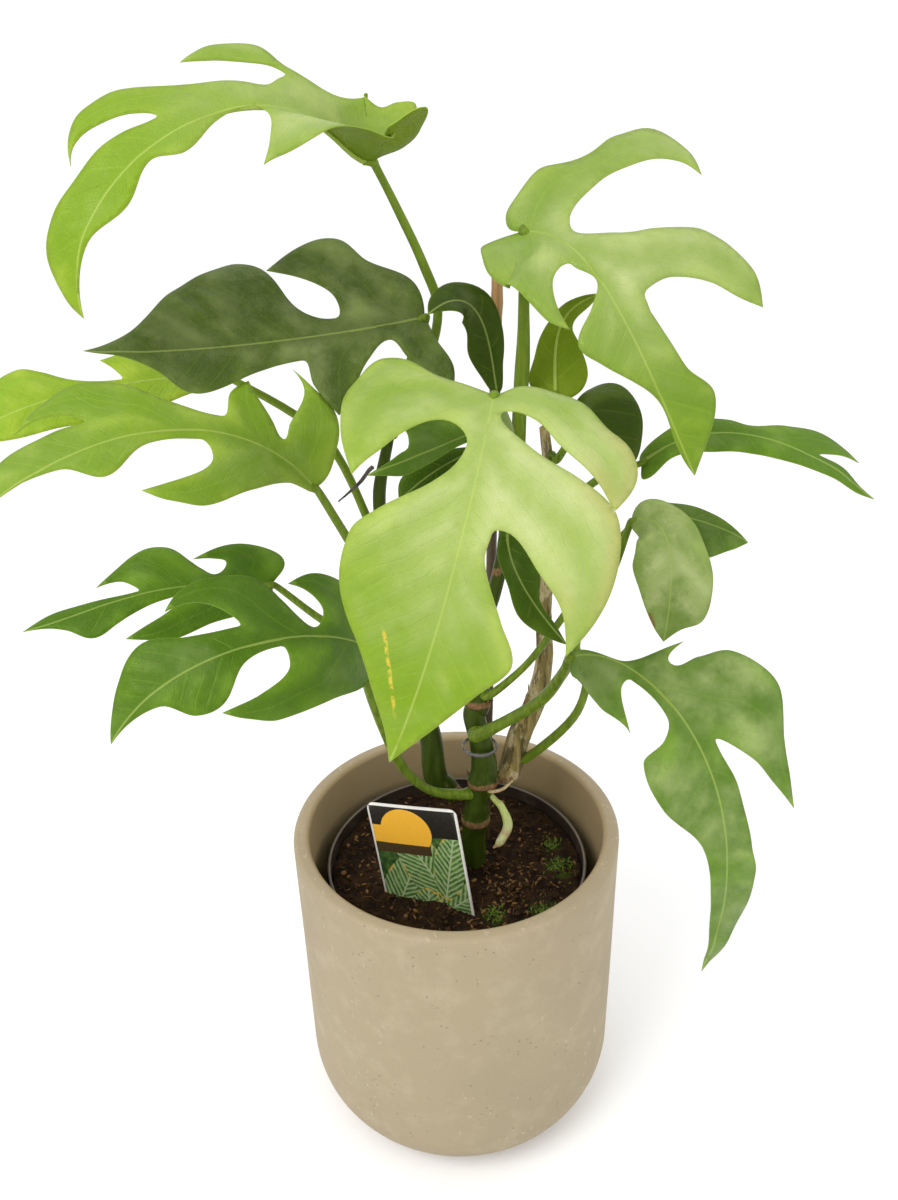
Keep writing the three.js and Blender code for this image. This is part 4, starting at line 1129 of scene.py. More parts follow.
def leaf_bloom_and_sheen(finish, name, along, out, edge):
    """Where a leaf is pale: in clouds of real bloom, and in painted sheen: a band from the stalk, strongest
    on the lit side, and broad streaks.
    """
    _, bloom, _, reach, painted_sheen_share = LEAF_LOOKS[name]
    cloud = finish.noise(48, 6, 0.65).ramp(0.36, 0.68)
    # painted light: the sheen is strongest on the side of the midrib that faces the light
    lit_side = out.ramp(44, -8, 0.3, 1) * along.ramp(2, 22, 0.5, 1)
    # painted sheen: a pale band from the stalk towards the tip, standing in for reflected light
    painted_sheen = along.ramp(reach * 0.5, reach + 25, painted_sheen_share, 0) * lit_side * (cloud * 0.3 + 0.7)
    # painted sheen: broad pale streaks standing in for glossy highlights
    streak = finish.noise(44, 3, 0.5, (1, 0.5, 1)).ramp(0.54, 0.70) * edge.ramp(1, 7) * 0.15
    return (cloud * bloom + bloom * 0.35 + painted_sheen + streak).least(1.0)


def front_marks(finish, colour, along, out, edge, fine):
    """The marks of the big front leaf: a yellow streak by the tip and a browned margin on its left side."""
    bend = 18 - (along - 106) * 0.43
    streak = abs(out - bend).ramp(0.3, 1.1, 1, 0) * along.ramp(104, 108) * along.ramp(140, 130)
    colour = finish.mix(streak * fine.ramp(0.38, 0.56) * 0.9, colour, YELLOW_STREAK)
    browned = edge.ramp(0.5, 9, 1, 0) * out.ramp(-30, -44) * along.ramp(4, 22) * along.ramp(92, 70)
    return finish.mix(browned * 0.30, colour, BROWNED_MARGIN)


def stem_finish(name, colour, dark, scar, flakes):
    """Stem skin: lengthwise streaks, dry rings where the mesh says so, and flaking bark."""
    finish = Finish(name)
    along = finish.made("along")
    streak = finish.noise(300, 4, 0.6, (1, 1, 0.12))
    blotch = finish.noise(70, 3)
    ring = finish.made("scar")
    skin = finish.mix(streak.ramp(0.35, 0.65), dark, colour)
    skin = finish.mix(blotch.ramp(0.5, 0.75) * 0.5, skin, colour)
    grain = finish.noise(520, 5, 0.65)
    dry = (ring * 1.25 + grain * 0.7 - 0.55).ramp(0.1, 0.55)
    skin = finish.mix(dry, skin, finish.mix(grain.ramp(0.35, 0.7), blended(scar, BLACK, 0.55), scar))
    height = streak * 0.5 + dry * grain * 0.8
    if flakes:
        flake = finish.noise(150, 5, 0.7, (1, 1, 0.35)).ramp(0.50, 0.60)
        skin = finish.mix(flake * flakes, skin, PALE_FLAKE)
        crack = finish.noise(260, 4, 0.7, (1, 1, 0.2)).ramp(0.40, 0.46, 1, 0)
        skin = finish.mix(crack * 0.7, skin, BARK_CRACK)
        height = height + flake * 0.4 - crack * 0.6
    ripple = (along * 900).sine() * 0.05
    roughness = 0.38 + dry * 0.35 + flakes * 0.3
    sheen = {"Specular_IOR_Level": 0.2, "Specular_Tint": SHEEN}
    return finish.done(skin, roughness, height + ripple, 0.0006, **sheen)


def stalk_finish(settings, name, age_and_shade):
    finish = Finish(name)
    light = settings.stalk
    # the stalk darkens with its leaf: older leaves, and painted shade on the inner ones
    dark = blended(light, settings.green, 0.2 + 0.7 * age_and_shade)
    streak = finish.noise(420, 4, 0.6, (1, 1, 0.15))
    speck = finish.cells(900).ramp(0.10, 0.22, 1, 0)
    colour = finish.grained(streak, dark, light)
    colour = finish.mix(speck * 0.25, colour, (0.42, 0.46, 0.16))
    sheen = {"Specular_IOR_Level": 0.3, "Specular_Tint": SHEEN}
    return finish.done(colour, streak * 0.2 + 0.34, streak, 0.0003, **sheen)


def concrete_finish(settings):
    """Cast concrete: patches, sand, pale chips, painted shade in pores and inside (which is partly wet), a
    painted rim highlight.
    """
    finish = Finish("concrete")
    inside = finish.made("inside")
    rim = finish.made("rim")
    patch = finish.noise(9, 3, 0.45).ramp(0.38, 0.66)
    tint = finish.noise(15, 2, 0.5, (1, 1, 0.6)).ramp(0.40, 0.70)
    sand = finish.noise(900, 3, 0.7)
    cloud = finish.noise(65, 5, 0.6)
    colour = finish.mix(patch * 0.55, settings.concrete, settings.patch)
    colour = finish.mix(tint * 0.22, colour, (0.34, 0.295, 0.17))
    pale = blended(settings.chip, (0.45, 0.37, 0.25), 0.4)
    colour = finish.mix(cloud.ramp(0.45, 0.75) * 0.20, colour, pale)
    colour = finish.mix(sand.ramp(0.30, 0.45, 0.22, 0), colour, (0.22, 0.18, 0.13))
    # pores: sparse small pits, darkened with painted shade
    pit = finish.cells(260).ramp(0.05, 0.16, 1, 0) * finish.noise(55, 2).ramp(0.50, 0.60)
    pit = pit * inside.ramp(0.2, 0.8, 1, 0.5)
    colour = finish.mix(pit * 0.45, colour, (0.20, 0.165, 0.12))
    # chips: pale specks and short scratches, most of them just below the rim
    where = finish.noise(24, 2, 0.5).ramp(0.56, 0.64)
    speck = finish.noise(330, 3, 0.75, (1, 1, 0.7)).ramp(0.62, 0.66) * where
    scratch = finish.noise(150, 4, 0.8, (1.6, 1.0, 0.35), 0.6).ramp(0.665, 0.69)
    scratch = scratch * finish.noise(17, 2).ramp(0.50, 0.60)
    worn = (speck + scratch).least(1.0) * inside.ramp(0.1, 0.6, 1, 0)
    worn = worn.most(rim * finish.noise(240, 4, 0.7).ramp(0.58, 0.66) * 0.5)
    colour = finish.mix(worn * 0.75, colour, settings.chip)
    # painted highlight: the top of the rim lighter and warmer, as if lit
    colour = finish.mix(rim * 0.25, colour, (0.43, 0.34, 0.21))
    # the inner wall darker: partly wet, partly painted shade falling inside the pot
    damp_and_shade = inside * finish.noise(30, 3, 0.6, (1, 1, 0.4)).ramp(0.25, 0.75, 1, 0.72)
    colour = finish.mix(damp_and_shade * 0.92, colour, settings.inside)
    height = sand * 0.20 + cloud * 0.25 - pit * 0.9 + worn * 0.35 + 0.5
    roughness = sand * 0.14 + patch * 0.06 + 0.56
    return finish.done(colour, roughness, height, settings.pore_depth, Specular_IOR_Level=0.3)


def plastic_finish(settings):
    finish = Finish("growing_pot")
    grain = finish.noise(700, 3, 0.6)
    dust = finish.noise(60, 4, 0.65).ramp(0.45, 0.7)
    lip = finish.made("lip")
    colour = finish.mix(dust * 0.35, settings.plastic, (0.16, 0.12, 0.085))
    # painted highlight: the glossy lip of the plastic pot drawn paler
    colour = finish.mix(lip * 0.45, colour, (0.20, 0.17, 0.13))
    return finish.done(colour, grain * 0.2 + 0.30, grain, 0.0002)


def soil_finish(settings):
    finish = Finish("soil")
    lump = finish.noise(130, 5, 0.7)
    grit = finish.noise(900, 4, 0.75)
    # darker in the hollows of the bump and lighter on its lumps: partly real mottling, partly painted shade
    tone = (lump * 0.7 + grit * 0.5).ramp(0.48, 0.82)
    colour = finish.mix(tone, settings.dark, settings.light)
    bit = finish.cells(420).ramp(0.06, 0.14, 1, 0) * finish.noise(120, 2).ramp(0.5, 0.6)
    colour = finish.mix(bit * 0.8, colour, settings.fibre)
    moss = finish.made("moss") * finish.noise(320, 4, 0.7).ramp(0.42, 0.58)
    colour = finish.mix(moss * 0.85, colour, settings.moss)
    return finish.done(colour, grit * 0.2 + 0.75, lump * 0.6 + grit * 0.6, 0.0024, Specular_IOR_Level=0.15)


def crumb_finish(settings):
    """Loose bits: the tint number goes from soil through bark to moss."""
    finish = Finish("soil_bits")
    tint = finish.made("tint")
    grain = finish.noise(900, 4, 0.7)
    soil = finish.grained(grain, settings.dark, settings.light)
    bark = finish.grained(grain, blended(settings.fibre, (0.03, 0.02, 0.01), 0.6), settings.fibre)
    shaded, lit = blended(settings.moss, BLACK, 0.4), blended(settings.moss, (0.5, 0.7, 0.1), 0.25)
    moss = finish.grained(grain, shaded, lit)
    colour = finish.mix(tint.ramp(0.2, 1.0), soil, bark)
    colour = finish.mix(tint.ramp(1.4, 1.6), colour, moss)
    return finish.done(colour, grain * 0.2 + 0.7, grain, 0.0005, Specular_IOR_Level=0.15)


def cane_finish(settings):
    finish = Finish("cane")
    grain = finish.noise(500, 4, 0.6, (1, 1, 0.04))
    colour = finish.grained(grain, blended(settings.cane, (0.05, 0.02, 0.01), 0.6), settings.cane)
    # painted shade: the cane darkened below the top leaves, tan only near its top
    colour = finish.mix(finish.made("along").ramp(305, 325, 0.88, 0), colour, (0.030, 0.022, 0.008))
    return finish.done(colour, grain * 0.2 + 0.4, grain, 0.0003)


def clip_finish():
    finish = Finish("clip")
    haze = finish.noise(300, 3)
    colour = finish.grained(haze, (0.16, 0.15, 0.13), (0.26, 0.25, 0.22))
    return finish.done(colour, haze * 0.15 + 0.14, haze, 0.0001, Transmission_Weight=0.6)


def root_finish(name, colour):
    finish = Finish(name)
    grain = finish.noise(600, 4, 0.7, (1, 1, 0.3))
    skin = finish.grained(grain, blended(colour, BLACK, 0.45), blended(colour, (0.6, 0.5, 0.4), 0.18))
    return finish.done(skin, grain * 0.2 + 0.6, grain, 0.0005)


def shoot_finish(settings):
    """A pale green sheath that turns whitish and red at its foot."""
    finish = Finish("shoot")
    along = finish.made("along")
    streak = finish.noise(700, 3, 0.6, (1, 1, 0.2))
    colour = finish.grained(streak, blended(settings.shoot, (0.1, 0.2, 0.02), 0.3), settings.shoot)
    foot = along.ramp(0.012, 0.026, 0, 1)
    colour = finish.mix(foot * 0.45, colour, (0.58, 0.56, 0.36))
    red = along.ramp(0.020, 0.026) * finish.noise(200, 3).ramp(0.45, 0.6)
    colour = finish.mix(red * 0.6, colour, (0.36, 0.09, 0.06))
    return finish.done(colour, streak * 0.2 + 0.35, streak, 0.0003)


# Each printed leaf: where its middle is on the card (mm), its turn (degrees), and its half width and length
PRINTED_LEAVES = [
    (-14, 30, 62, 13, 30),
    (6, 44, 118, 14, 34),
    (14, 24, 35, 12, 26),
    (-2, 12, 80, 11, 24),
    (17, 50, 75, 9, 22),
]
# Heights on the card, in mm: the foot of the dark band, and the plain strip below it
BAND_FOOT = 68
STRIP_FOOT = 56
STRIP_TOP = 62


def label_finish(settings):
    """A printed card: a dark band with a warm patch over a picture of striped leaves."""
    finish = Finish("label")
    across = finish.made("across")
    up = finish.made("up")
    front = finish.made("front")
    half = LABEL_WIDTH / 2
    wave = finish.noise(260, 3, 0.6)
    colour = finish.grained(wave, (0.02, 0.05, 0.015), (0.07, 0.14, 0.03))
    for x, y, turn, wide, long in PRINTED_LEAVES:
        c, s = math.cos(math.radians(turn)), math.sin(math.radians(turn))
        p = (across - x) * c + (up - y) * s
        q = (up - y) * c - (across - x) * s
        reach = (p / long) ** 2 + (q / wide) ** 2
        inside = reach.ramp(0.94, 1.0, 1, 0)
        stripe = abs(((p - abs(q) * 1.1 + wave * 2.5) / 3.8).fraction() - 0.5).ramp(0.14, 0.48)
        middle = abs(q).ramp(0.2, 0.7, 1, 0)
        lit = blended(settings.leaf, (0.2, 0.4, 0.08), 0.35)
        blade = finish.mix(wave.ramp(0.35, 0.65), settings.leaf, lit)
        blade = finish.mix((stripe * 0.7).most(middle * 0.8), blade, settings.stripe)
        glow = reach.ramp(0.80, 0.96) * wave.ramp(0.45, 0.6)
        blade = finish.mix(glow * 0.85, blade, settings.patch)
        colour = finish.mix(inside, colour, blade)
    colour = finish.mix(up.ramp(BAND_FOOT - 0.1, BAND_FOOT + 0.1), colour, settings.header)
    warm = (((across + 5) / 15) ** 2 + ((up - 70) / 14) ** 2).ramp(0.97, 1.0, 1, 0)
    warm = warm.most(up.ramp(STRIP_TOP, STRIP_TOP + 0.3) * up.ramp(73, 72.7) * across.ramp(-3.0, -3.4))
    colour = finish.mix(warm, colour, settings.patch)
    strip = up.ramp(STRIP_FOOT, STRIP_FOOT + 0.2) * up.ramp(STRIP_TOP + 0.2, STRIP_TOP)
    strip = strip * across.ramp(8.2, 8.0)
    colour = finish.mix(strip, colour, blended(settings.header, (0.12, 0.07, 0.02), 0.4))
    margin = half - settings.border / MM
    border = abs(across).ramp(margin - 0.1, margin + 0.1)
    border = border.most(up.ramp(LABEL_LENGTH - 1.3, LABEL_LENGTH - 1.1))
    colour = finish.mix(border.most(1 - front), colour, settings.card)
    return finish.done(colour, wave * 0.06 + 0.24, wave, 0.00004, Coat_Weight=0.3)


# ---- Pots ----


def cover_pot(settings):
    inner = POT_RADIUS - POT_WALL
    low = POT_FOOT_ROUND
    high = POT_HEIGHT - POT_RIM_ROUND
    outer_wall = [(POT_RADIUS, blend(low, high, i / 16)) for i in range(1, 16)]
    turn = POT_FLOOR + POT_FLOOR_ROUND
    inner_wall = [(inner, blend(high, turn, i / 14)) for i in range(1, 14)]
    profile = [
        (0, 0),
        (20, 0),
        (40, 0),
        *arc(POT_FOOT_RADIUS, POT_FOOT_ROUND, POT_FOOT_ROUND, -90, 0, 18),
        *outer_wall,
        *arc(POT_RADIUS - POT_RIM_ROUND, high, POT_RIM_ROUND, 0, 90, 7),
        *arc(inner + POT_RIM_ROUND, high, POT_RIM_ROUND, 90, 180, 7),
        *inner_wall,
        *arc(inner - POT_FLOOR_ROUND, turn, POT_FLOOR_ROUND, 0, -90, 4),
        (0, POT_FLOOR),
    ]

    def wobble(angle, height):
        spot = Vector((math.cos(angle) * 1.3, math.sin(angle) * 1.3, height / 0.07))
        return noise.noise(spot) * 0.0022

    shape = lathe([(r * MM, z * MM) for r, z in profile], settings.sides, wobble)
    inside, rim = [], []
    for point in shape[0]:
        radius = math.hypot(point.x, point.y) / MM
        height = point.z / MM
        within = smooth_step((POT_RADIUS - POT_WALL * 0.55 - radius) / (POT_WALL * 0.4))
        inside.append(within if height > POT_FLOOR - 1 else 0)
        rim.append(smooth_step((height - high - 0.5) / 2))
    shape[2].update({"inside": inside, "rim": rim})
    new_piece("cover_pot", shape, concrete_finish(settings), ["cachepot"])


def growing_pot(settings):
    bead = 0.9
    lip = NURSERY_TOP - bead
    foot, top = NURSERY_FOOT_RADIUS, NURSERY_TOP_RADIUS
    outer = [(blend(foot, top, i / 8), blend(NURSERY_FLOOR, lip, i / 8)) for i in range(8)]
    inner = [(r - NURSERY_WALL, z + (NURSERY_WALL if i == 0 else 0)) for i, (r, z) in enumerate(outer)]
    profile = [
        (0, NURSERY_FLOOR),
        *outer,
        *arc(top - bead * 0.6, lip, bead, -50, 230, 8),
        *inner[::-1],
        (0, NURSERY_FLOOR + NURSERY_WALL),
    ]
    shape = lathe([(r * MM, z * MM) for r, z in profile], settings.sides)
    shape[2]["lip"] = [smooth_step((point.z / MM - lip + 0.6) / 1.2) for point in shape[0]]
    new_piece("growing_pot", shape, plastic_finish(settings), ["nursery_pot"])


# ---- Soil ----

# Patches of moss: where each lies, and how wide it is, in mm
MOSS_PATCHES = [
    ((59, -6), 9), ((47, -42), 10), ((29, -57), 9),
    ((20, -42), 6), ((56, 14), 6), ((-30, -56), 5),
]
# The soil's lumps: how wide each sort is in mm, and how high against the biggest
LUMPS = [(17, 1), (7, 0.6), (3.1, 0.35), (1.4, 0.18)]


def soil_radius(z):
    k = (z - NURSERY_FLOOR) / (NURSERY_TOP - NURSERY_FLOOR)
    return blend(NURSERY_FOOT_RADIUS, NURSERY_TOP_RADIUS, k) - NURSERY_WALL - 0.4


def soil_height(x, y, lumps):
    """Height of the soil's surface in mm: crowned, lumpy, and lower along the wall."""
    reach = math.hypot(x, y) / soil_radius(SOIL_TOP)
    spot = Vector((x, y, 0))
    rough = sum(share * noise.noise(spot / size) for size, share in LUMPS)
    return SOIL_TOP + SOIL_CROWN * (1 - reach**2) + rough * lumps / MM * (1 - 0.5 * reach**6) - 0.6


def moss_at(x, y):
    return max(smooth_step(1.25 - math.dist((x, y), spot) / wide) for spot, wide in MOSS_PATCHES)


def soil_body(settings):
    floor = NURSERY_FLOOR + NURSERY_WALL + 0.4
    rings = 64
    wall = [(soil_radius(z), z) for z in (floor, 60, 105, SOIL_TOP - 3)]
    top = [(soil_radius(SOIL_TOP) * (1 - i / rings), SOIL_TOP) for i in range(rings + 1)]
    shape = lathe([(0, floor), *wall, *top], 220)
    points = []
    moss = []
    for point in shape[0]:
        x, y, z = point
        if z > SOIL_TOP - 1:
            z = soil_height(x, y, settings.lumps)
        points.append(Vector((x, y, z)) * MM)
        moss.append(moss_at(x, y))
    new_piece("soil_body", (points, shape[1], {"moss": moss}), soil_finish(settings), ["soil"])


def pebble(centre, size, stretch, lean, tint, chance):
    """A small irregular lump."""
    points = []
    for spot in BALL_POINTS:
        grown = 1 + 0.32 * noise.noise(spot * 1.7 + centre * 3.1) + chance.uniform(-0.07, 0.07)
        points.append(centre + lean @ Vector(s * p for s, p in zip(stretch, spot * grown * size)))
    return points, BALL_FACES, {"tint": [tint] * len(points)}


def ball():
    """Points and faces of a small round ball, from an octahedron split twice."""
    points = [Vector(p) for p in ((1, 0, 0), (0, 1, 0), (-1, 0, 0), (0, -1, 0), (0, 0, 1), (0, 0, -1))]
    faces = [(i, (i + 1) % 4, 4) for i in range(4)] + [((i + 1) % 4, i, 5) for i in range(4)]
    middles = {}

    def middle(a, b):
        key = (min(a, b), max(a, b))
        if key not in middles:
            middles[key] = len(points)
            points.append((points[a] + points[b]).normalized())
        return middles[key]

    split = []
    for a, b, c in faces:
        ab, bc, ca = middle(a, b), middle(b, c), middle(c, a)
        split += [(a, ab, ca), (b, bc, ab), (c, ca, bc), (ab, bc, ca)]
    return points, split


BALL_POINTS, BALL_FACES = ball()


def turned_at_random(chance):
    spin = Matrix.Rotation(chance.uniform(0, math.tau), 3, "Z")
    tilt = Matrix.Rotation(chance.uniform(-0.6, 0.6), 3, "X")
    return spin @ tilt


def soil_bits(settings):
    """Loose crumbs, bark chips with fibres, and small moss leaves."""
    chance = random.Random(11)
    reach = soil_radius(SOIL_TOP) - 2.5
    shapes = []

    def spot_on_soil(x, y, above):
        return Vector((x, y, soil_height(x, y, settings.lumps) + above))

    def anywhere():
        a, r = chance.uniform(0, math.tau), reach * math.sqrt(chance.random())
        return r * math.cos(a), r * math.sin(a)

    for _ in range(settings.crumbs):
        x, y = anywhere()
        size = 0.5 + 1.5 * chance.random() ** 2.2
        tint = 0.75 if chance.random() < 0.10 else chance.uniform(0, 0.35)
        stretch = (1, chance.uniform(0.7, 1), chance.uniform(0.5, 0.9))
        lean = turned_at_random(chance)
        shapes.append(pebble(spot_on_soil(x, y, size * 0.25), size, stretch, lean, tint, chance))
    for i in range(settings.bits):
        x, y = anywhere()
        if i % 3 == 0:
            x, y = chance.gauss(26, 13), chance.gauss(-24, 11)
        if math.hypot(x, y) > reach:
            continue
        size = chance.uniform(0.9, 2.1)
        tint = chance.uniform(0.7, 1.15)
        lean = turned_at_random(chance)
        stretch = (1, chance.uniform(0.16, 0.5), chance.uniform(0.12, 0.3))
        shapes.append(pebble(spot_on_soil(x, y, 0.35), size, stretch, lean, tint, chance))
    for _ in range(settings.bits // 3):
        x, y = anywhere()
        if math.hypot(x, y) > reach - 6:
            continue
        way = chance.uniform(0, math.tau)
        path = []
        for i in range(7):
            x += math.cos(way) * 1.0
            y += math.sin(way) * 1.0
            way += chance.uniform(-0.35, 0.35)
            path.append(spot_on_soil(x, y, 0.25 + 0.5 * math.sin(math.pi * i / 6)))
        points, faces, _ = tube(path, [0.13] * len(path), 5)
        shapes.append((points, faces, {"tint": [chance.uniform(0.6, 1.1)] * len(points)}))
    for i in range(settings.tufts):
        (x, y), wide = MOSS_PATCHES[i % len(MOSS_PATCHES)]
        x += chance.gauss(0, wide * 0.45)
        y += chance.gauss(0, wide * 0.45)
        if math.hypot(x, y) > reach:
            continue
        shapes.append(moss_leaf(spot_on_soil(x, y, -0.1), chance))
    new_piece("soil_bits", metres(joined(shapes)), crumb_finish(settings), [])


def moss_leaf(foot, chance):
    """One small pointed leaf, with a little thickness."""
    way = chance.uniform(0, math.tau)
    out = Vector((math.cos(way), math.sin(way), 0))
    side = Vector((-out.y, out.x, 0))
    tall, wide = chance.uniform(1.2, 2.6), chance.uniform(0.3, 0.55)
    points = []
    for k, breadth in ((0, 0.35), (0.45, 1.0), (0.8, 0.6)):
        middle = foot + out * tall * k * (0.4 + 0.5 * k) + Vector((0, 0, tall * k * 0.8))
        for across, lift in ((-1, 0), (0, 0.16), (1, 0), (0, -0.16)):
            points.append(middle + side * wide * breadth * across + Vector((0, 0, lift)))
    tip = len(points)
    points.append(foot + out * tall * 0.95 + Vector((0, 0, tall * 0.72)))
    faces = [(3, 2, 1, 0)]
    for row in (0, 4):
        faces += [(row + i, row + (i + 1) % 4, row + 4 + (i + 1) % 4, row + 4 + i) for i in range(4)]
    faces += [(8 + i, 8 + (i + 1) % 4, tip) for i in range(4)]
    return points, faces, {"tint": [2.0] * len(points)}


# ---- Stems, stalks, cane and roots ----

# Each stem: its path and radii in mm, its joints' heights, how woody it is, its node and its slot
STEMS = {
    "main_stem": {
        "path": [
            (9, 0, 126), (9, 0, 149), (10, -1, 172), (11, -2, 183), (12, -1, 195),
            (15, 0, 207), (16, 1, 217), (14, 2, 232), (11, 4, 246), (13, 6, 254),
            (14, 6, 290), (22, 6, 318), (27, 6, 345), (27, 5, 376), (23, 3, 402),
        ],
        "radii": [7, 7.4, 6.6, 7.6, 6.4, 8, 7, 6, 6, 6.6, 4.2, 3.6, 3.4, 3.2, 2.4],
        "joints": [183, 207, 254, 290, 330, 372],
        "bark": 0.0,
        "slot": "green_stem",
    },
    "left_stem": {
        "path": [
            (1, 5, 193), (-5, 7, 198), (-11, 8, 206), (-13, 10, 230), (-18, 12, 252),
            (-24, 13, 290), (-31, 15, 332), (-34, 16, 364), (-28, 17, 394),
        ],
        "radii": [5, 6, 6.6, 6.2, 5, 4, 3.4, 3.2, 2.6],
        "joints": [198, 240, 290, 340],
        "bark": 0.0,
        "slot": "green_stem",
    },
    "right_stem": {
        "path": [
            (26, 5, 203), (31, 9, 209), (36, 12, 228), (45, 15, 249), (49, 16, 273),
            (48, 15, 298), (49, 14, 332), (50, 14, 364), (46, 16, 398),
        ],
        "radii": [5, 6.6, 6.4, 5.6, 4.6, 4, 3.6, 3.4, 2.4],
        "joints": [205, 249, 298, 340, 380],
        "bark": 0.8,
        "slot": "woody_stem",
    },
}
CANE_PATH = [(16.5, 20, 110), (24, 21, 466)]
CANE_KNOTS = [165, 238, 316, 391, 455]
# Each dry root: its node, path and radii in mm, and a colour of its own
ROOTS = [
    (
        "aerial_root",
        [(-36, 14, 381), (-38.4, 13, 379), (-43, 10, 374), (-53, 8, 366)],
        [1.1, 1, 0.9, 0.4],
        None,
    ),
    (
        "small_root",
        [(17, -6, 205), (20, -8, 205), (26, -8, 207), (31, -4, 209)],
        [1.1, 1, 0.9, 0.6],
        (0.50, 0.36, 0.16),
    ),
]
SHOOT_PATH = [
    (19, -3, 200), (21.5, -6, 198), (25, -10, 196),
    (28, -15, 188), (24, -18, 180), (20, -19, 176),
]
SHOOT_RADII = [1.4, 1.6, 2.0, 2.6, 2.4, 0.6]


def skin_spot(angle, height):
    """Where noise is read for a point at that angle round a stem, at that height."""
    return Vector((math.cos(angle), math.sin(angle), height))


def stem_axis(name):
    return spline(STEMS[name]["path"], 8)


def stem(name, settings):
    recipe = STEMS[name]
    path = stem_axis(name)
    radii = spread(recipe["radii"], len(path))
    joints = recipe["joints"]

    def near_joint(z, wide):
        return max(math.exp(-(((z - joint) / wide) ** 2)) for joint in joints)

    def rough(centre, angle):
        bulge = 0.07 * near_joint(centre.z, 2.2) - 0.05 * near_joint(centre.z - 3.5, 1.6)
        spot = skin_spot(angle, centre.z / 9)
        return 1 + bulge + 0.035 * noise.noise(spot * 1.4) + 0.02 * recipe["bark"] * noise.noise(spot * 6)

    shape = tube(path, radii, 28, rough)
    scars = []
    for point in shape[0]:
        tilt = 1.2 * noise.noise(point / 6)
        scars.append(near_joint(point.z + tilt, 1.9))
    shape[2]["scar"] = scars
    chance = random.Random(len(name) * 7 + int(recipe["radii"][1] * 10))
    shapes = [shape]
    for joint in joints[: 4 if recipe["bark"] == 0 else 3]:
        i = min(range(len(path)), key=lambda k: abs(path[k].z - joint))
        for _ in range(5):
            shapes.append(dry_flake(path[i], (path[i + 1] - path[i - 1]).normalized(), radii[i], chance))
    if recipe["bark"]:
        light, dark = settings.bark, blended(settings.bark, (0.03, 0.035, 0.01), 0.6)
    else:
        light, dark = blended(settings.green, (0.16, 0.24, 0.03), 0.12), settings.green
    finish = stem_finish(name, light, dark, settings.scar, recipe["bark"])
    new_piece(f"{name}_bark", along_in_metres(joined(shapes)), finish, [name])


def dry_flake(centre, along, radius, chance):
    """A torn, papery bit of old sheath that stands off the stem at a joint."""
    a = chance.uniform(0, math.tau)
    across = along.orthogonal().normalized()
    out = Matrix.Rotation(a, 3, along) @ across
    side = along.cross(out)
    tall, wide, flare = chance.uniform(2.5, 6), chance.uniform(1.2, 2.6), chance.uniform(0.2, 1.6)
    points = []
    for k, breadth in ((-0.2, 1.0), (0.25, 0.95), (0.6, 0.6), (1.0, 0.12)):
        reach = radius * 1.04 + flare * max(k, 0) ** 1.5 * 1.6
        for turn in (-1, 0, 1):
            middle = centre + along * tall * k + side * wide * breadth * turn * 0.6
            points.append(middle + out * (reach - 0.25 * abs(turn)))
    below = len(points)
    points += [point - out * 0.25 for point in points]
    faces = []
    for row in range(3):
        for column in range(2):
            a0 = row * 3 + column
            faces.append((a0, a0 + 1, a0 + 4, a0 + 3))
            faces.append(tuple(i + below for i in (a0 + 3, a0 + 4, a0 + 1, a0)))
    rim = [0, 1, 2, 5, 8, 11, 10, 9, 6, 3]
    for a0, b0 in zip(rim, rim[1:] + rim[:1]):
        faces.append((b0, a0, a0 + below, b0 + below))
    count = len(points)
    return points, faces, {"along": [0.0] * count, "turn": [0.0] * count, "scar": [0.9] * count}


def stalk_shape(name):
    """A leaf stalk that clasps its stem at the foot and thickens where it meets the blade."""
    points, (thick, thin) = STALKS[name]
    path = [Vector(point) for point in points]
    axis = [point for stem_name in STEMS for point in stem_axis(stem_name)]
    foot = min(axis, key=lambda point: (point - path[0]).length)
    blade = Blade(LEAVES[name])
    path = [foot.lerp(path[0], 0.35), *path, blade.under(0, 1.0), blade.under(4, 1.5)]
    dense = spline(path, 7)
    middle = blend(thick, thin, 0.6)
    radii = spread([thick * 1.45, thick * 1.2, thick, thick, middle, thin, thin * 1.15, 1.1], len(dense))
    seed = sum(map(ord, name))

    def rough(centre, angle):
        return 1 + 0.05 * noise.noise(skin_spot(angle, centre.z / 11 + seed))

    return tube(dense, radii, 18, rough)


def rib_shape(blade):
    """The midrib's round back under the blade."""
    steps = 40
    path, radii = [], []
    for i in range(steps + 1):
        k = i / steps
        radius = blend(1.15, 0.22, k**0.8)
        path.append(blade.under(k * blade.length * 0.94 + 1, 0.55 + radius * 0.62))
        radii.append(radius)
    points, faces, numbers = tube(path, radii, 10)
    on_rib = [0.0] * len(points)
    far_from_edge = [20.0] * len(points)
    return points, faces, {"along": numbers["along"], "out": on_rib, "vein": on_rib, "edge": far_from_edge}


def cane(settings):
    def rough(centre, angle):
        knot = max(math.exp(-(((centre.z - z) / 1.6) ** 2)) for z in CANE_KNOTS)
        return 1 + 0.16 * knot + 0.04 * noise.noise(skin_spot(angle, centre.z / 14))

    path = spline(CANE_PATH, 60)
    shape = tube(path, [CANE_RADIUS] * len(path), 18, rough)
    new_piece("cane", metres(shape), cane_finish(settings), ["support_cane"])


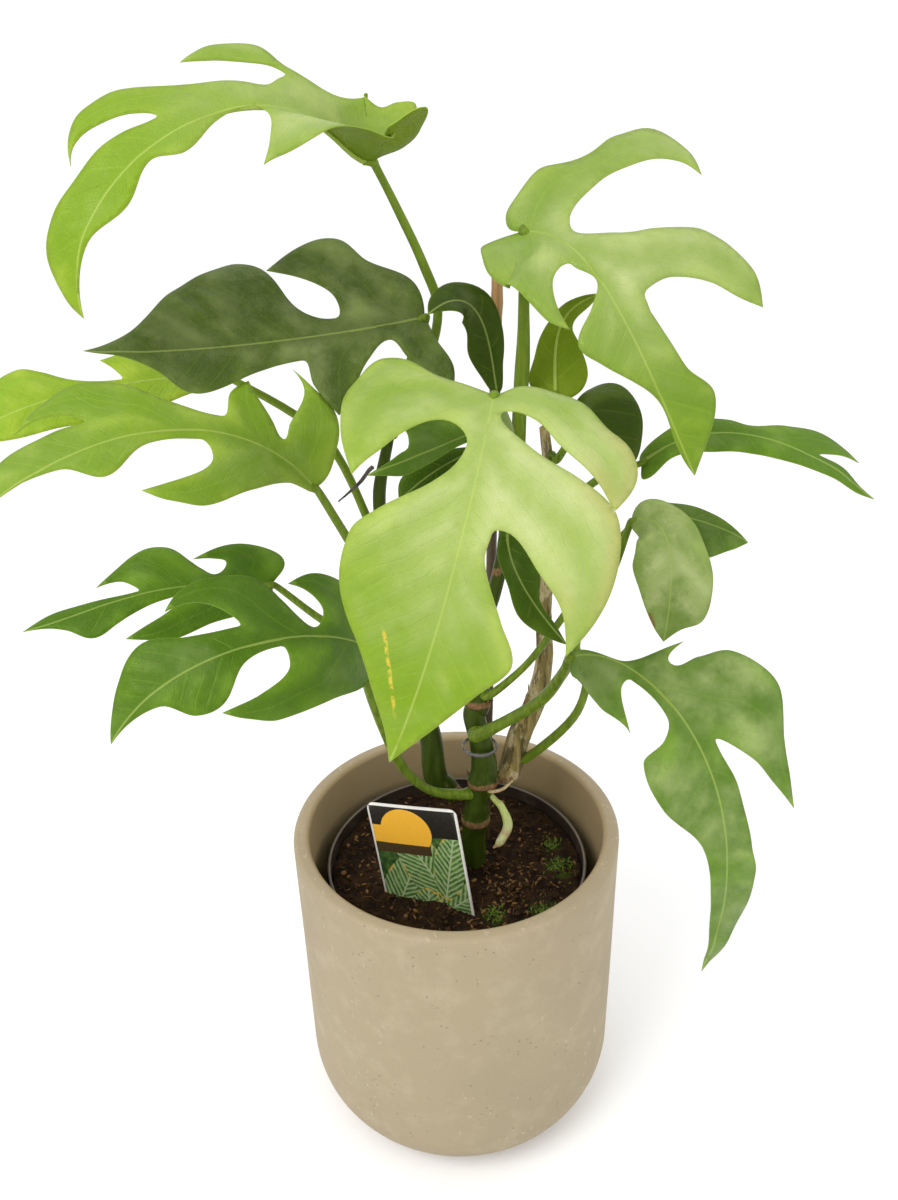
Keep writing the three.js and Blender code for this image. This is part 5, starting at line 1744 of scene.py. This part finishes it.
def stem_clip():
    """A thin clear ring, oval in section, round the main stem."""
    turns = [math.tau * i / 14 for i in range(15)]
    profile = [(CLIP_RADIUS + 0.45 * math.cos(a), CLIP_HEIGHT + 1.2 * math.sin(a)) for a in turns]
    points, faces, numbers = lathe(profile, 48)
    points = [point + Vector((*CLIP_CENTRE, 0)) for point in points]
    shape = metres((points, faces, numbers))
    new_piece("stem_clip", shape, clip_finish(), ["clip_ring"])


def dry_root(node, points, radii, colour):
    def rough(centre, angle):
        return 1 + 0.18 * noise.noise(centre / 2.2 + skin_spot(angle, 0))

    path = spline(points, 9)
    shape = tube(path, spread(radii, len(path)), 12, rough)
    new_piece(f"dry_{node}", metres(shape), root_finish(node, colour), [node])


def shoot(settings):
    path = spline(SHOOT_PATH, 12)
    shape = tube(path, spread(SHOOT_RADII, len(path)), 20)
    new_piece("shoot", along_in_metres(shape), shoot_finish(settings), ["young_shoot"])


# ---- Label ----


def label_half_width(y):
    """Half the label's width at a height: tapered below and rounded above."""
    half = LABEL_WIDTH / 2
    if y < LABEL_TAPER:
        return half - LABEL_TAPER + y
    over = y - (LABEL_LENGTH - LABEL_CORNER)
    if over > 0:
        return half - LABEL_CORNER + math.sqrt(max(LABEL_CORNER**2 - over**2, 0))
    return half


def rotation(degrees, axis):
    return Matrix.Rotation(math.radians(degrees), 4, axis)


def label_shape():
    heights = [LABEL_TAPER * i / 6 for i in range(6)]
    heights += [blend(LABEL_TAPER, LABEL_LENGTH - LABEL_CORNER, i / 30) for i in range(30)]
    corner = LABEL_LENGTH - LABEL_CORNER
    heights += [corner + LABEL_CORNER * math.sin(math.pi / 2 * i / 8) for i in range(9)]
    columns = 20
    lean = rotation(LABEL_TURN, "Z") @ rotation(-LABEL_LEAN, "X")
    lean = lean @ rotation(LABEL_TILT, "Y") @ rotation(90, "X")
    place = Matrix.Translation(LABEL_FOOT) @ lean
    points, faces = [], []
    numbers = {"across": [], "up": [], "front": []}
    for face, depth in ((1, LABEL_THICKNESS / 2), (0, -LABEL_THICKNESS / 2)):
        for y in heights:
            wide = label_half_width(y)
            for i in range(columns + 1):
                x = blend(-wide, wide, i / columns)
                bow = 0.7 * (y / LABEL_LENGTH) ** 2 - 0.4 * (x / LABEL_WIDTH * 2) ** 2
                points.append(place @ Vector((x, y, depth + bow)) * MM)
                for key, value in (("across", x), ("up", y), ("front", face)):
                    numbers[key].append(value)
    row = columns + 1
    below = len(heights) * row
    for j in range(len(heights) - 1):
        for i in range(columns):
            a = j * row + i
            faces.append((a, a + 1, a + row + 1, a + row))
            faces.append(tuple(k + below for k in (a + row, a + row + 1, a + 1, a)))
    top = (len(heights) - 1) * row
    rim = list(range(row)) + [j * row + columns for j in range(1, len(heights))]
    rim += list(range(top + columns - 1, top - 1, -1)) + [j * row for j in range(len(heights) - 2, 0, -1)]
    walls = [(b, a, a + below, b + below) for a, b in zip(rim, rim[1:] + rim[:1])]
    flat = range(len(faces), len(faces) + len(walls))
    return (points, faces + walls, numbers), flat


# ---- Operators: one for each piece or group of like pieces, and one for the stage ----


class POTTEDMONSTERA_OT_cover_pot(bpy.types.Operator):
    """Add the concrete cover pot"""

    bl_idname = "pottedmonstera.cover_pot"
    bl_label = "Cover pot"

    def execute(self, context):
        cover_pot(context.scene.potted_monstera.pot)
        return {"FINISHED"}


class POTTEDMONSTERA_OT_growing_pot(bpy.types.Operator):
    """Add the thin plastic pot that the plant grows in"""

    bl_idname = "pottedmonstera.growing_pot"
    bl_label = "Growing pot"

    def execute(self, context):
        growing_pot(context.scene.potted_monstera.pot)
        return {"FINISHED"}


class POTTEDMONSTERA_OT_soil(bpy.types.Operator):
    """Add the soil, with its crumbs, bark chips and moss"""

    bl_idname = "pottedmonstera.soil"
    bl_label = "Soil"

    def execute(self, context):
        settings = context.scene.potted_monstera.soil
        soil_body(settings)
        soil_bits(settings)
        return {"FINISHED"}


class POTTEDMONSTERA_OT_stems(bpy.types.Operator):
    """Add the three climbing stems"""

    bl_idname = "pottedmonstera.stems"
    bl_label = "Stems"

    def execute(self, context):
        for name in STEMS:
            stem(name, context.scene.potted_monstera.stem)
        return {"FINISHED"}


class POTTEDMONSTERA_OT_stalks(bpy.types.Operator):
    """Add the leaf stalks"""

    bl_idname = "pottedmonstera.stalks"
    bl_label = "Leaf stalks"

    def execute(self, context):
        settings = context.scene.potted_monstera.stem
        for name in STALKS:
            age_and_shade = LEAF_LOOKS[name][0]
            node = f"stalk_{name}"
            finish = stalk_finish(settings, node, age_and_shade)
            new_piece(f"{name}_stalk", metres(stalk_shape(name)), finish, [node])
        return {"FINISHED"}


class POTTEDMONSTERA_OT_leaves(bpy.types.Operator):
    """Add the leaf blades"""

    bl_idname = "pottedmonstera.leaves"
    bl_label = "Leaves"

    def execute(self, context):
        settings = context.scene.potted_monstera.leaf
        for seed, (name, leaf) in enumerate(LEAVES.items()):
            shape, kinds, flat, blade = blade_shape(leaf, settings, seed)
            rib = metres(rib_shape(blade))
            kinds = kinds + [1] * len(rib[1])
            node = f"leaf_{name}"
            finishes = leaf_finishes(name, settings)
            new_piece(f"{name}_blade", joined([shape, rib]), finishes, [node], kinds, flat)
        return {"FINISHED"}


class POTTEDMONSTERA_OT_support(bpy.types.Operator):
    """Add the support cane and the clip ring that holds the main stem"""

    bl_idname = "pottedmonstera.support"
    bl_label = "Cane and clip"

    def execute(self, context):
        cane(context.scene.potted_monstera.stem)
        stem_clip()
        return {"FINISHED"}


class POTTEDMONSTERA_OT_roots(bpy.types.Operator):
    """Add the two dry roots and the young shoot"""

    bl_idname = "pottedmonstera.roots"
    bl_label = "Roots and shoot"

    def execute(self, context):
        settings = context.scene.potted_monstera.stem
        for node, points, radii, colour in ROOTS:
            dry_root(node, points, radii, colour or settings.root)
        shoot(settings)
        return {"FINISHED"}


class POTTEDMONSTERA_OT_label(bpy.types.Operator):
    """Add the printed plant label"""

    bl_idname = "pottedmonstera.label"
    bl_label = "Plant label"

    def execute(self, context):
        shape, flat = label_shape()
        finish = label_finish(context.scene.potted_monstera.label)
        new_piece("label", shape, finish, ["plant_label"], flat=flat)
        return {"FINISHED"}


class POTTEDMONSTERA_OT_stage(bpy.types.Operator):
    """Add the floor, the lights and the camera"""

    bl_idname = "pottedmonstera.stage"
    bl_label = "Stage"

    def execute(self, context):
        scene = context.scene
        settings = scene.potted_monstera.stage
        scene.view_settings.view_transform = "Standard"
        stage_floor(settings)
        sky = bpy.data.worlds.new("Sky")
        sky.use_nodes = True
        background = sky.node_tree.nodes["Background"]
        background.inputs["Color"].default_value = (1, 1, 1, 1)
        background.inputs["Strength"].default_value = settings.sky
        scene.world = sky
        soft_light("Key light", KEY_PLACE, KEY_SIZE, settings.key)
        soft_light("Fill light", FILL_PLACE, FILL_SIZE, settings.fill)
        data = bpy.data.cameras.new("Camera")
        data.lens = settings.lens
        data.sensor_width = SENSOR_WIDTH
        data.clip_start = 0.01
        camera = bpy.data.objects.new("Camera", data)
        scene.collection.objects.link(camera)
        camera.matrix_world = camera_place(settings)
        scene.camera = camera
        return {"FINISHED"}


def stage_floor(settings):
    """A wide, even floor, rounded off far from the plant."""
    points, faces, _ = lathe([(0, 0), (0.6, 0), (2, 0), (12, 0)], 96)
    mesh = bpy.data.meshes.new("Floor")
    mesh.from_pydata([tuple(point) for point in points], [], faces)
    finish = Finish("floor")
    grain = finish.noise(60, 3)
    tone = finish.mix(grain, settings.floor, blended(settings.floor, (1, 1, 1), 0.15))
    mesh.materials.append(finish.done(tone, 0.9))
    floor = bpy.data.objects.new("Floor", mesh)
    bpy.context.scene.collection.objects.link(floor)


def soft_light(name, place, size, power):
    data = bpy.data.lights.new(name, "AREA")
    data.shape = "DISK"
    data.size = size
    data.energy = power
    light = bpy.data.objects.new(name, data)
    light.location = place
    aim = Vector(LIGHT_TARGET) - Vector(place)
    light.rotation_euler = aim.to_track_quat("-Z", "Y").to_euler()
    bpy.context.scene.collection.objects.link(light)


def camera_place(settings):
    """Where the camera stands and which way it looks: along +Y, down by the pitch, leaning by the roll."""
    turn = Matrix.Rotation(math.pi / 2 - settings.pitch, 4, "X") @ Matrix.Rotation(settings.roll, 4, "Z")
    return Matrix.Translation(settings.eye) @ turn


# ---- Panel and start ----

OPERATORS = [
    POTTEDMONSTERA_OT_stage,
    POTTEDMONSTERA_OT_cover_pot,
    POTTEDMONSTERA_OT_growing_pot,
    POTTEDMONSTERA_OT_soil,
    POTTEDMONSTERA_OT_stems,
    POTTEDMONSTERA_OT_stalks,
    POTTEDMONSTERA_OT_leaves,
    POTTEDMONSTERA_OT_support,
    POTTEDMONSTERA_OT_roots,
    POTTEDMONSTERA_OT_label,
]


class POTTEDMONSTERA_PT_panel(bpy.types.Panel):
    """Lists the steps and the settings"""

    bl_idname = "POTTEDMONSTERA_PT_panel"
    bl_label = "Potted monstera"
    bl_space_type = "VIEW_3D"
    bl_region_type = "UI"
    bl_category = "Potted monstera"

    def draw(self, context):
        settings = context.scene.potted_monstera
        for step in OPERATORS:
            self.layout.operator(step.bl_idname)
        for group_name in ("pot", "soil", "leaf", "stem", "label", "stage"):
            group = getattr(settings, group_name)
            box = self.layout.box()
            box.label(text=group_name.capitalize())
            for key in group.__annotations__:
                box.prop(group, key)


CLASSES = [
    PotSettings,
    SoilSettings,
    LeafSettings,
    StemSettings,
    LabelSettings,
    StageSettings,
    PlantSettings,
    *OPERATORS,
    POTTEDMONSTERA_PT_panel,
]


def register():
    for one in CLASSES:
        bpy.utils.register_class(one)
    bpy.types.Scene.potted_monstera = bpy.props.PointerProperty(type=PlantSettings)


def unregister():
    del bpy.types.Scene.potted_monstera
    for one in reversed(CLASSES):
        bpy.utils.unregister_class(one)


def main():
    register()
    for step in OPERATORS:
        _, name = step.bl_idname.split(".")
        getattr(bpy.ops.pottedmonstera, name)()


if __name__ == "__main__":
    main()
